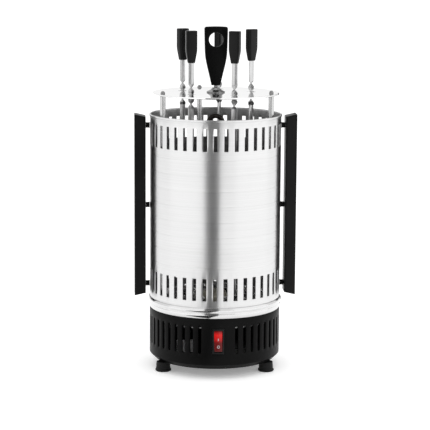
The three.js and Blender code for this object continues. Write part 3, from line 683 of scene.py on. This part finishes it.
def housing_shell():
    """Drum wall as one ring of quads; a vent's ends follow half circles."""
    half = VENT_WIDTH / 2
    vent_low = housing_bottom + VENT_BOTTOM_MARGIN + half
    vent_high = housing_top - VENT_TOP_MARGIN - half
    bezel_low, bezel_high = low("switch_bezel").z - BEZEL_GAP, high("switch_bezel").z + BEZEL_GAP
    bezel_half = high("switch_bezel").x + BEZEL_GAP
    gland_z = middle("cord_gland").z

    def degrees_of(x):
        return math.degrees(math.asin(x / housing_radius))

    # Each column: degrees from the front, distance from its vent's middle, and what it borders.
    columns = []
    for side in (-1, 1):
        for i in range(VENTS_PER_SIDE):
            centre = side * (VENT_START + i * VENT_PITCH)
            for share in (-1, -0.72, 0, 0.72, 1):
                columns.append((centre + degrees_of(share * half), share * half, "vent"))
            if i + 1 < VENTS_PER_SIDE:
                columns.append((centre + side * VENT_PITCH / 2, half, ""))
    for share in (-1, -0.5, 0, 0.5, 1):
        columns.append((degrees_of(share * bezel_half), half, "bezel"))
    for plain in (VENT_START - 5, VENT_START - 8, 170, 164):  # keep the unvented parts round
        columns += [(-plain, half, ""), (plain, half, "")]
    for x in (-GLAND_HOLE, 0, GLAND_HOLE):
        columns.append((180 + degrees_of(x), half, "gland"))
    columns = sorted(((a % 360, x, kind) for a, x, kind in columns), key=lambda c: c[0])

    round_edge = 1.2
    bevelled = housing_radius - HOUSING_BEVEL
    under_vents = vent_low - half - 4
    foot_profile = fillet(
        [(bevelled - 4, housing_bottom), (bevelled, housing_bottom),
         (housing_radius, housing_bottom + HOUSING_BEVEL),
         (housing_radius, under_vents)], round_edge, 4)
    top_profile = [(housing_radius, vent_high + half + 3), (housing_radius, housing_top - 0.8),
                   (housing_radius - 0.3, housing_top - 0.2), (housing_radius - 0.8, housing_top)]
    rows = [("fixed", p) for p in foot_profile] + [("low", 0)]
    rows += [("between", t) for t in (0.25, 0.5, 0.75)] + [("high", 1)]
    rows += [("fixed", p) for p in top_profile]

    def ends(column):
        _, x, kind = column
        if kind == "bezel":
            return bezel_low, bezel_high
        if kind == "gland":
            return gland_z + GLAND_HOLE, vent_high
        sag = math.sqrt(max(0.0, half * half - x * x))
        return vent_low - sag, vent_high + sag

    def point(column, row):
        kind, value = row
        bottom, top = ends(column)
        radius = housing_radius
        if kind == "fixed":
            radius, z = value
            if column[2] == "gland" and z == under_vents:
                z = gland_z - GLAND_HOLE
        else:
            z = bottom + (top - bottom) * {"low": 0, "high": 1}.get(kind, value)
        return on_circle(radius, column[0] - 90, z)

    first = len(foot_profile)

    def open_cell(i, r):
        here, beyond = columns[i], columns[(i + 1) % len(columns)]
        if here[2] != beyond[2] or here[2] == "":
            return False
        if here[2] == "gland":
            return r == first - 1
        if here[2] == "vent" and beyond[0] - here[0] > 3:
            return False
        return first <= r < first + 4

    shell = shell_grid("housing_shell", columns, rows, point, open_cell)
    thicken(shell, HOUSING_WALL)
    soften(shell, 0.4, 2, 50)
    place(shell, "base", "housing_plastic", housing_look, "base_housing")


def foot(node):
    """Flared rubber foot with its screw in a recess from below."""
    top = high(node).z + 0.3
    radius = half_width(node)
    recess, recess_top = 4.2, 6
    profile = fillet(
        [(0, top), (radius - 1.5, top), (radius - 0.9, 3.4), (radius, 2.8), (radius, 0.9),
         (radius - 1.0, 0), (recess, 0), (recess, recess_top), (0, recess_top)], 0.5, 4)
    centre = middle(node)[:2]
    shape = build(node + "_rubber", lathe(profile, 64, centre), 40)
    place(shape, "base", "foot_rubber", rubber_look, node)
    matrix = moved((*centre, recess_top), math.pi, "X")
    head = cross_head(3.4, 2.2, node + "_screw", matrix)
    place(head, "base", "bright_rod", rod_look)


def drip_pan():
    """Dish with a two-step beaded rim; the casing stands on its shoulder."""
    bottom, top = low("drip_pan").z, high("drip_pan").z
    bead = high("drip_pan").x
    sheet = 1.2
    casing_gap = 0.4
    rim_inner = casing_radius + casing_gap
    shoulder = casing_bottom - 0.3
    valley = (rim_inner + 0.5, bottom + 6.6)
    floor_top = bottom + 3.2
    floor_bottom = floor_top - sheet
    collar = high("heater_base").x - HEATER_FLANGE + 0.6
    spindle_hole, post_hole = 4.6, 2.3
    profile = [
        *bulge((housing_radius - 0.1, bottom), valley, 0.85, 10),
        *bulge((valley[0] + 0.05, valley[1] + 0.15), (rim_inner + 0.75, top - 0.35),
               bead - rim_inner - 0.62, 12),
        (rim_inner + 0.45, top),
        (rim_inner + 0.1, top - 0.15),
        (rim_inner, top - 0.6),
        *fillet([(rim_inner, top - 1), (rim_inner, shoulder), (rim_inner - 2.6, shoulder),
                 (rim_inner - 4.6, floor_top), (collar + sheet, floor_top),
                 (collar + sheet, floor_top + 4.5), (collar, floor_top + 4.5),
                 (collar, floor_bottom), (housing_radius - 2.2, floor_bottom),
                 (housing_radius - 2.2, bottom)], 0.6, 4),
    ]
    pan = build("pan_dish", lathe(profile, 192, looped=True), 40)
    holes = [cylinder(radius, floor_bottom - 1, floor_top + 1, segments, middle(node)[:2])
             for stem, radius, segments in (("spindle_gear", spindle_hole, 32), ("post", post_hole, 20))
             for node in numbered(stem)]
    carve(pan, merged(*holes))
    place(pan, "base", "polished_steel", pan_look, "drip_pan")
    ring = fillet([(spindle_hole, floor_top - 0.2), (6.6, floor_top - 0.2), (6.0, floor_top + 0.8),
                   (6.0, floor_top + 2), (spindle_hole, floor_top + 2)], 0.35, 3, True)
    collars = [lathe(ring, 40, middle(node)[:2], True) for node in numbered("spindle_gear")]
    place(build("pan_collars", merged(*collars), 50), "base", "polished_steel", pan_look)


def gland():
    """Inlet bush at the back: a flange outside and a barrel through the wall."""
    outer = high("cord_gland").y
    flange = (high("cord_gland").z - low("cord_gland").z) / 2
    bore, barrel, depth = 3.4, 5.4, 7.8
    profile = fillet(
        [(bore, 0), (flange, 0), (flange, 1.1), (flange - 1.2, 2.0), (bore + 1.1, 2.0), (bore, 1.0)],
        0.3, 3, True)
    body = fillet([(bore, -depth), (barrel, -depth), (barrel, 0.2), (bore, 0.2)], 0.2, 2, True)
    shape = merged(lathe(profile, 64, looped=True), lathe(body, 48, looped=True))
    matrix = moved((0, outer - 2.0, middle("cord_gland").z), -math.pi / 2, "X")
    bush = build("gland_bush", transformed(shape, matrix))
    place(bush, "base", "housing_plastic", bezel_look, "cord_gland")


# ---- Switch ----


def rectangle(half, bottom, top, corner):
    """Outline of a rectangle with rounded corners, centred on X."""
    return fillet([(-half, bottom), (half, bottom), (half, top), (-half, top)], corner, 4, True)


def switch():
    """Frame, open well and closed body; the opening is centred on the frame."""
    lo, hi = low("switch_bezel"), high("switch_bezel")
    rocker_lo, rocker_hi = low("switch_rocker"), high("switch_rocker")
    play, wall, depth = 0.35, 0.9, 9.0
    face_depth = 1.4
    opening_half = rocker_hi.x + play
    centre = middle("switch_bezel").z
    reach = max(rocker_hi.z - centre, centre - rocker_lo.z) + play
    opening = rectangle(opening_half, centre - reach, centre + reach, 0.5)
    frame_outline = rectangle(hi.x, lo.z, hi.z, 1.0)
    face = slab("switch_frame", [frame_outline, opening], face_depth, 0.35, 3)
    face.data.transform(Matrix.Translation((0, (lo.y + face_depth / 2) * MM, 0)))
    place(face, "base", "bezel_plastic", bezel_look, "switch_bezel")
    side, under, over = opening_half + wall, centre - reach - wall, centre + reach + wall
    well = slab("switch_well", [rectangle(side, under, over, 0.5), opening], depth, 0.1, 1)
    well.data.transform(Matrix.Translation((0, (lo.y + 1.0 + depth / 2) * MM, 0)))
    place(well, "base", "bezel_plastic", bezel_look)
    back = box_shape((-side, lo.y + depth + 0.9, under), (side, hi.y, over))
    body = soften(build("switch_body", back), 0.6, 2)
    place(body, "base", "bezel_plastic", bezel_look)


def rocker():
    """See-saw paddle, upper half pressed in, with the two generic on and off marks."""
    lo, hi = low("switch_rocker"), high("switch_rocker")
    joint = next(j for j in frame["joints"] if j["name"] == "rocker_tilt")
    pivot = Vector(joint["pos_m"]) / MM
    throw = math.radians(joint["range_deg"][1])
    half = 12.75
    middle_face, back_face = 3.0, -3.4  # in front of and behind the pivot
    end_face = middle_face + half * math.tan(throw / 2)
    outline = fillet(
        [(end_face, half), (middle_face, 0), (end_face, -half), (0.5, -half + 0.4),
         (back_face, -half / 2), (back_face, half / 2), (0.5, half - 0.4)], 0.9, 5, True)
    paddle = slab("rocker_paddle", [outline], hi.x - lo.x, 0.55, 4)
    tilt = moved(pivot * MM, -throw / 2, "X")
    upright = Matrix.Rotation(-math.pi / 2, 4, "Z")
    paddle.data.transform(tilt @ upright)
    place(paddle, "rocker", "rocker_plastic", rocker_look, "switch_rocker")

    def mark(name, outlines, height):
        """A printed mark on the paddle's face, at a height from its middle."""
        piece = slab(name, outlines, 0.16, 0.04, 1)
        slope = math.atan((end_face - middle_face) / half)
        depth = middle_face + abs(height) * math.tan(slope)
        lean = math.copysign(slope, height)
        piece.data.transform(tilt @ moved((0, -depth * MM, height * MM), lean, "X"))
        place(piece, "rocker", "rocker_plastic", mark_look)

    mark("mark_on", [rectangle(0.42, -1.4, 1.4, 0.3)], 1.9)
    mark("mark_off", [arc((0, 0), 1.75, 0, 345, 23), arc((0, 0), 1.15, 0, 345, 23)], -6.8)


# ---- Inside ----


def heater():
    """Hairpin tube with its legs in a flanged ceramic holder."""
    tube = high("heater_element").y
    spacing = high("heater_element").x - tube
    bottom = low("heater_element").z
    bend_z = high("heater_element").z - tube - spacing
    leg = bend_z - bottom
    steps, sides = 12, 24
    # Each station of the path: x, z and how far the tube has turned over.
    path = [(-spacing, bottom + leg * i / steps, 0) for i in range(steps)]
    path += [(-spacing * math.cos(math.radians(a)), bend_z + spacing * math.sin(math.radians(a)), a)
             for a in range(0, 181, 9)]
    path += [(spacing, bend_z - leg * i / steps, 180) for i in range(1, steps + 1)]
    rings = []
    for x, z, degrees in path:
        turn = math.radians(degrees)
        ring = []
        for i in range(sides):
            around = 2 * math.pi * i / sides
            across = tube * math.cos(around)
            ring.append((x + across * math.cos(turn), tube * math.sin(around),
                         z - across * math.sin(turn)))
        rings.append(ring)
    element = build("heater_hairpin", loft(rings))
    place(element, "base", "heater_tube", heater_look, "heater_element")

    flange = high("heater_base").x
    stem = flange - HEATER_FLANGE
    lo, hi = low("heater_base").z, high("heater_base").z
    profile = fillet(
        [(0, lo), (stem, lo), (stem, hi - 10), (flange, hi - 10), (flange, hi - 6.6),
         (stem + 1, hi - 5.4), (stem, hi), (0, hi)], 0.8, 4)
    holder = build("heater_holder", lathe(profile, 72), 40)
    leg_hole = tube + 0.3
    carve(holder, merged(*[cylinder(leg_hole, lo - 1, hi + 1, 32, (x, 0)) for x in (-spacing, spacing)]))
    place(holder, "base", "heater_ceramic", ceramic_look, "heater_base")


def blade_angle(node):
    """Degrees the flat strip is turned, read from the strip's end under the grip.

    The longest line between two of the end's corners that is no diagonal runs along its width.
    """
    top = high(node).z
    ends = [v.co / MM for v in frame["nodes"][node].data.vertices if v.co.z / MM > top - 1]
    centre = sum(ends, Vector()) / len(ends)
    corners = [v - centre for v in ends]
    diagonal = 2 * max(corner.length for corner in corners)
    sides = [a - b for a in corners for b in corners if (a - b).length < 0.995 * diagonal]
    along = max(sides, key=lambda side: side.length)
    return math.degrees(math.atan2(along.y, along.x))


def drip_cup(node, degrees):
    """Shaft, open cup and slotted boss for the skewer's tip, in one turned piece."""
    lo, hi = low(node).z, high(node).z
    wall_top = hi - 6
    cup_floor = hi - 15
    radius = half_width(node)
    boss, shaft, shaft_end, end_length = 6.0, 3.95, 2.95, 4.8
    socket = (4.0, 1.1)
    profile = fillet(
        [(0, lo), (shaft_end, lo), (shaft_end, lo + end_length), (shaft, lo + end_length),
         (shaft, cup_floor),
         (radius - 2.4, cup_floor), (radius - 0.2, cup_floor + 2.4), (radius - 0.2, wall_top - 0.4),
         (radius, wall_top), (radius - 1.1, wall_top), (radius - 1.4, wall_top - 0.8),
         (radius - 1.4, cup_floor + 2.8), (radius - 3, cup_floor + 1.3), (boss + 0.6, cup_floor + 1.3),
         (boss, cup_floor + 3), (boss, hi), (0, hi)],
        0.5, 3)
    cup = build(node.replace("drip_cup", "cup"), lathe(profile, 64), 40)
    carve(cup, box_shape((-socket[0], -socket[1], hi - 12), (*socket, hi + 1)))
    stand(cup, node, degrees)
    place(cup, node.replace("drip_cup", "spindle"), "polished_steel", pan_look, node)


# ---- Skewers ----

BLADE_WIDTH = 7.4
BLADE_THICKNESS = 1.6
TWIST_TURNS = 1.5
TWIST_ABOVE = 13.0  # over the disc's upper face
TWIST_BELOW = 17.0
DISC_HALF_SHEET = 0.75


def strip_ring(width, thickness, height, degrees, corner=0.35):
    """Section of a flat strip with rounded edges."""
    w, t = width / 2, thickness / 2
    c = min(corner, t * 0.8)
    outline = [(-w + c, -t), (0, -t), (w - c, -t), (w, -t + c), (w, t - c), (w - c, t), (0, t),
               (-w + c, t), (-w, t - c), (-w, -t + c)]
    s, k = math.sin(math.radians(degrees)), math.cos(math.radians(degrees))
    return [(x * k - y * s, x * s + y * k, height) for x, y in outline]


def skewer_blade(node, degrees):
    """Flat strip with a pointed tip, twisted where it passes the disc."""
    bottom, top = low(node).z, high(node).z
    disc_top = middle("top_disc").z + DISC_HALF_SHEET
    start, end = disc_top - TWIST_BELOW, disc_top + TWIST_ABOVE
    straight = bottom + 6
    turned = -360 * TWIST_TURNS
    # Heights and angles of the full sections: straight, twisted, and straight up to the grip.
    stations = [(bottom + 5.2, 0)]
    stations += [(straight + (start - straight) * i / 12, 0) for i in range(12)]
    stations += [(start + (end - start) * i / 72, turned * i / 72) for i in range(73)]
    stations += [(end + (top - end) * i / 4, turned) for i in range(1, 5)]
    rings = [strip_ring(1.2, 0.9, bottom, 0), strip_ring(2.6, 1.3, bottom + 0.8, 0)]
    rings += [strip_ring(BLADE_WIDTH, BLADE_THICKNESS, height, angle) for height, angle in stations]
    blade = build(node.replace("skewer_blade", "blade"), loft(rings), 50)
    stand(blade, node, degrees)
    place(blade, node.replace("_blade", ""), "skewer_steel", strip_look, node)


def grip_ring(width, thickness, corner, height):
    """Level section of a grip: a rectangle with rounded corners."""
    half_w, half_t = width / 2, thickness / 2
    outline = fillet([(-half_w, -half_t), (half_w, -half_t), (half_w, half_t), (-half_w, half_t)],
                     corner, 5, True)
    return [(x, y, height) for x, y in outline]


def skewer_grip(node, degrees):
    """Moulded grip: a narrow neck that flares into a straight handle with a rounded crown."""
    bottom, top = low(node).z, high(node).z
    neck = 14.0
    wide, thick = 13.8, 9.4
    narrow, slim = 9.0, 6.6
    crown = 1.0
    rings = [grip_ring(narrow - 1.2, slim - 1.2, 1.6, bottom),
             grip_ring(narrow - 0.3, slim - 0.3, 1.8, bottom + 0.3),
             grip_ring(narrow, slim, 1.9, bottom + 0.9)]
    for i in range(1, 17):
        share = i / 16
        rise = share * (neck + 3)
        ease = min(1.0, rise / neck) - 0.04 * math.exp(-((rise - neck) / 1.6) ** 2)
        rings.append(grip_ring(narrow + (wide - narrow) * ease, slim + (thick - slim) * ease,
                               1.9 + 0.4 * share, bottom + 0.9 + rise))
    rings += [grip_ring(wide, thick, 2.3, top - crown - 6 * i) for i in (2, 1, 0)]
    for a in (25, 50, 75, 90):
        inset = crown * (1 - math.cos(math.radians(a)))
        rings.append(grip_ring(wide - 2 * inset, thick - 2 * inset, 2.2,
                               top - crown + crown * math.sin(math.radians(a))))
    rings.append(grip_ring(wide - 6, thick - 6, 1.4, top))
    grip = build(node.replace("skewer_grip", "grip"), loft(rings), 40)
    stand(grip, node, degrees)
    place(grip, node.replace("_grip", ""), "grip_plastic", grip_look, node)


# ---- Top ----

NUT_SUNK = 0.25  # nuts and washer reach down to the disc's sheet, below its rim

def top_disc():
    """Sheet disc with a raised rim, a hole for each skewer and one for the stud."""
    lo, hi = low("top_disc").z, high("top_disc").z
    radius = high("top_disc").x
    skewer_hole, stud_hole = 5.6, 2.7
    under, over = lo + 0.6, hi - 0.3
    profile = fillet([(0, under), (radius - 1.6, under), (radius - 0.5, lo), (radius, under),
                      (radius, over - 0.2), (radius - 0.5, hi), (radius - 1.6, over), (0, over)], 0.3, 3)
    disc = build("disc_plate", lathe(profile, 240), 40)
    holes = [cylinder(skewer_hole, lo - 2, hi + 2, 40, middle(n)[:2]) for n in numbered("spindle_gear")]
    carve(disc, merged(*holes, cylinder(stud_hole, lo - 2, hi + 2, 24)))
    soften(disc, 0.12, 2, 60)
    place(disc, "base", "disc_mirror", disc_look, "top_disc")


def post(node):
    """Rod with a headed lower end through the pan and a thin end through the disc."""
    lo, hi = low(node).z, high(node).z
    shoulder = low("top_disc").z + 0.55
    radius = half_width(node)
    head, shank, neck = 3.2, 2, 1.5
    foot_z = low("drip_cup_1").z + 22
    profile = fillet(
        [(0, lo), (head, lo), (head, lo + 1.6), (shank, lo + 1.6), (shank, foot_z), (radius, foot_z),
         (radius, shoulder), (neck, shoulder), (neck, hi), (0, hi)], 0.35, 3)
    rod = build(node + "_rod", lathe(profile, 40, middle(node)[:2]), 40)
    place(rod, "base", "bright_rod", rod_look, node)


def domed_nut(node):
    """Low nut: a hexagon with its upper corners broken, and a dome on it."""
    centre = middle(node)[:2]
    bottom, top = low(node).z - NUT_SUNK, high(node).z
    corner, turn = 2.85, 15
    dome_radius = corner * math.cos(math.pi / 6) - 0.1
    dome_start = bottom + 1.3
    rings = [hexagon(radius, z, turn, centre)
             for radius, z in ((corner, bottom), (corner, bottom + 1.1), (corner - 0.3, bottom + 1.4))]
    dome = [(0, bottom + 0.6), (dome_radius, bottom + 0.6), (dome_radius, dome_start)]
    dome += [(dome_radius * math.cos(math.radians(a)),
              dome_start + (top - dome_start) * math.sin(math.radians(a))) for a in range(10, 90, 10)]
    dome.append((0, top))
    nut = build(node + "_acorn", merged(loft(rings), lathe(dome, 36, centre)), 30)
    place(nut, "base", "polished_steel", nut_dark_reflection_look, node)


def cone_washer():
    lo, hi = low("cone_washer").z - NUT_SUNK, high("cone_washer").z
    radius = high("cone_washer").x
    bore = 2.7
    profile = fillet(
        [(bore, lo), (radius, lo), (radius, lo + 1.1), (6.6, hi - 2.6), (4.4, hi - 0.4), (4.2, hi),
         (bore, hi)], 0.6, 4, True)
    cone = build("washer_cone", lathe(profile, 96, looped=True), 40)
    # darkened steel, a painted dark reflection
    place(cone, "base", "polished_steel", nut_dark_reflection_look, "cone_washer")


def stud():
    """Threaded stud with a hexagon head under the disc."""
    lo, hi = low("handle_stud").z, high("handle_stud").z
    start = low("top_disc").z + 0.55
    head, root, crest, pitch = 4.6, 2.15, 2.5, 0.8
    rings = [hexagon(radius, z) for radius, z in ((head - 0.5, lo), (head, lo + 0.4), (head, start))]
    thread = [(0, start)]
    for i in range(int((hi - start) / pitch)):
        thread += [(root, start + i * pitch), (crest, start + (i + 0.5) * pitch)]
    thread += [(root, hi - 0.3), (0, hi)]
    shape = merged(loft(rings), lathe(thread, 40))
    place(build("stud_threaded", shape, 30), "base", "bright_rod", rod_look, "handle_stud")


def lifting_handle():
    """Flat carrying handle with a narrow foot and a finger hole."""
    lo, hi = low("lifting_handle"), high("lifting_handle")
    height = hi.z - lo.z
    wide = hi.x
    flank = smooth_line(
        [(0.375 * wide, lo.z), (0.58 * wide, lo.z + 0.18 * height), (0.78 * wide, lo.z + 0.345 * height),
         (0.925 * wide, lo.z + 0.51 * height), (0.975 * wide, lo.z + 0.72 * height),
         (wide, hi.z - 3.2)], 7)
    corner = arc((wide - 2.6, hi.z - 3.0), 2.6, 0, 80, 6)
    crown = [(wide * (1 - 2 * i / 10) * 0.78, hi.z - 0.4 * ((1 - 2 * i / 10) ** 2)) for i in range(11)]
    left_corner = [(-x, z) for x, z in reversed(corner)]
    left_flank = [(-x, z) for x, z in reversed(flank)]
    outline = flank + corner + crown + left_corner + left_flank
    hole = arc((0, hi.z - 16.2), 8.8, 0, 354, 59)
    paddle = slab("carry_paddle", [outline, hole], hi.y - lo.y, 1.5, 5)
    place(paddle, "base", "grip_plastic", paddle_look, "lifting_handle")


# ---- CAD nodes that stay ----


def kept_nodes():
    """CAD pieces shown as they are, each with a look and its edges rounded by a width."""
    toothed = ["motor_pinion", "ring_gear", *numbered("spindle_gear")]
    for node, look, width in (
        # gear deck and motor: zinc darkened as painted shade
        ("bottom_cover", housing_look, 0.3), ("gear_deck", zinc_shaded_look, 0.2), ("gear_hub", nylon_look, 0.2),
        ("gear_motor", zinc_shaded_look, 0.6), ("terminal_block", terminal_look, 0.6),
        *[(gear, nylon_look, 0.12) for gear in toothed],
    ):
        obj = frame["nodes"][node]
        obj.data.materials.clear()
        obj.data.materials.append(look.material)
        soften(obj, width, 2, 30)


# ---- Assembly ----

casing_shell()
casing_rim()
casing_seam()
side_boards()
housing_shell()
for node in numbered("foot"):
    foot(node)
drip_pan()
gland()
switch()
rocker()
heater()
for index in range(1, 6):
    turn = blade_angle(f"skewer_blade_{index}")
    drip_cup(f"drip_cup_{index}", turn)
    skewer_blade(f"skewer_blade_{index}", turn)
    skewer_grip(f"skewer_grip_{index}", turn)
top_disc()
for node in numbered("post"):
    post(node)
for node in numbered("post_nut"):
    domed_nut(node)
cone_washer()
stud()
lifting_handle()
kept_nodes()


# ---- Stage: floor, light and camera ----


def stage_look(name, grey_level, roughness, emission):
    """Plain material without gloss, with a glow of its own."""
    colour = (*grey(grey_level), 1)
    return Look(name, Base_Color=colour, Roughness=roughness, Specular_IOR_Level=0.0,
                Emission_Color=colour, Emission_Strength=emission).material


def floor():
    bpy.ops.mesh.primitive_plane_add(size=60, location=(0, 0, 0))
    plane = bpy.context.object
    plane.name = "floor"
    plane.data.materials.append(stage_look("floor_pale", 0.985, 0.5, 0.25))


def area_light(name, place_m, target, size, power):
    data = bpy.data.lights.new(name, "AREA")
    data.shape = "RECTANGLE"
    data.size, data.size_y = size
    data.energy = power
    light = bpy.data.objects.new(name, data)
    scene.collection.objects.link(light)
    light.location = place_m
    light.rotation_euler = (Vector(target) - Vector(place_m)).to_track_quat("-Z", "Y").to_euler()
    light.visible_camera = False


def dark_flag(name, place_m, size, glow, flat=False):
    """Dark card with a faint glow, seen only in reflections, for the steel's dark stripe."""
    bpy.ops.mesh.primitive_plane_add(size=1, location=place_m)
    card = bpy.context.object
    card.name = name
    card.scale = (size[0], size[1], 1)
    if flat:
        card.rotation_euler = (0, 0, math.atan2(-place_m[0], -place_m[1]))
    else:
        facing = Vector((0, 0, 0.2)) - Vector(place_m)
        card.rotation_euler = facing.to_track_quat("Z", "Y").to_euler()
    card.data.materials.append(stage_look(name + "_card", 0.01, 0.9, glow))
    card.visible_camera = False
    card.visible_diffuse = False
    card.visible_shadow = False


def light_and_camera():
    world = bpy.data.worlds.new("studio")
    scene.world = world
    world.use_nodes = True
    world.node_tree.nodes["Background"].inputs["Color"].default_value = (1, 1, 1, 1)
    world.node_tree.nodes["Background"].inputs["Strength"].default_value = 1.0
    target = (0, 0, 0.2)
    area_light("softbox_left", (-1.3, -0.9, 0.5), target, (2.0, 1.8), 2.4)
    area_light("softbox_right", (1.45, -0.65, 0.5), target, (2.2, 1.8), 3.4)
    area_light("softbox_top", (0, 0.2, 1.8), target, (1.6, 1.6), 3)

    azimuth = math.radians(-3.5)
    distance, height = 2.06, 0.533
    tilt, roll = math.radians(9.44), math.radians(0.35)
    data = bpy.data.cameras.new("camera")
    data.sensor_width = 36
    data.lens = 139.8
    camera = bpy.data.objects.new("camera", data)
    camera.location = (distance * math.sin(azimuth), -distance * math.cos(azimuth), height)
    aim = Matrix.Rotation(azimuth, 4, "Z") @ Matrix.Rotation(math.pi / 2 - tilt, 4, "X")
    camera.rotation_euler = (aim @ Matrix.Rotation(roll, 4, "Z")).to_euler()
    scene.collection.objects.link(camera)
    scene.camera = camera
    dark_flag("flag_front", (-0.062, -0.447, 0.3), (0.19, 0.9), 15)
    dark_flag("flag_low", (-0.045, -0.32, 0.012), (0.11, 0.42), 3, flat=True)
    dark_flag("flag_back", (0.21, 0.4, 0.3), (0.17, 0.9), 15)
    scene.view_settings.view_transform = "Standard"


floor()
light_and_camera()
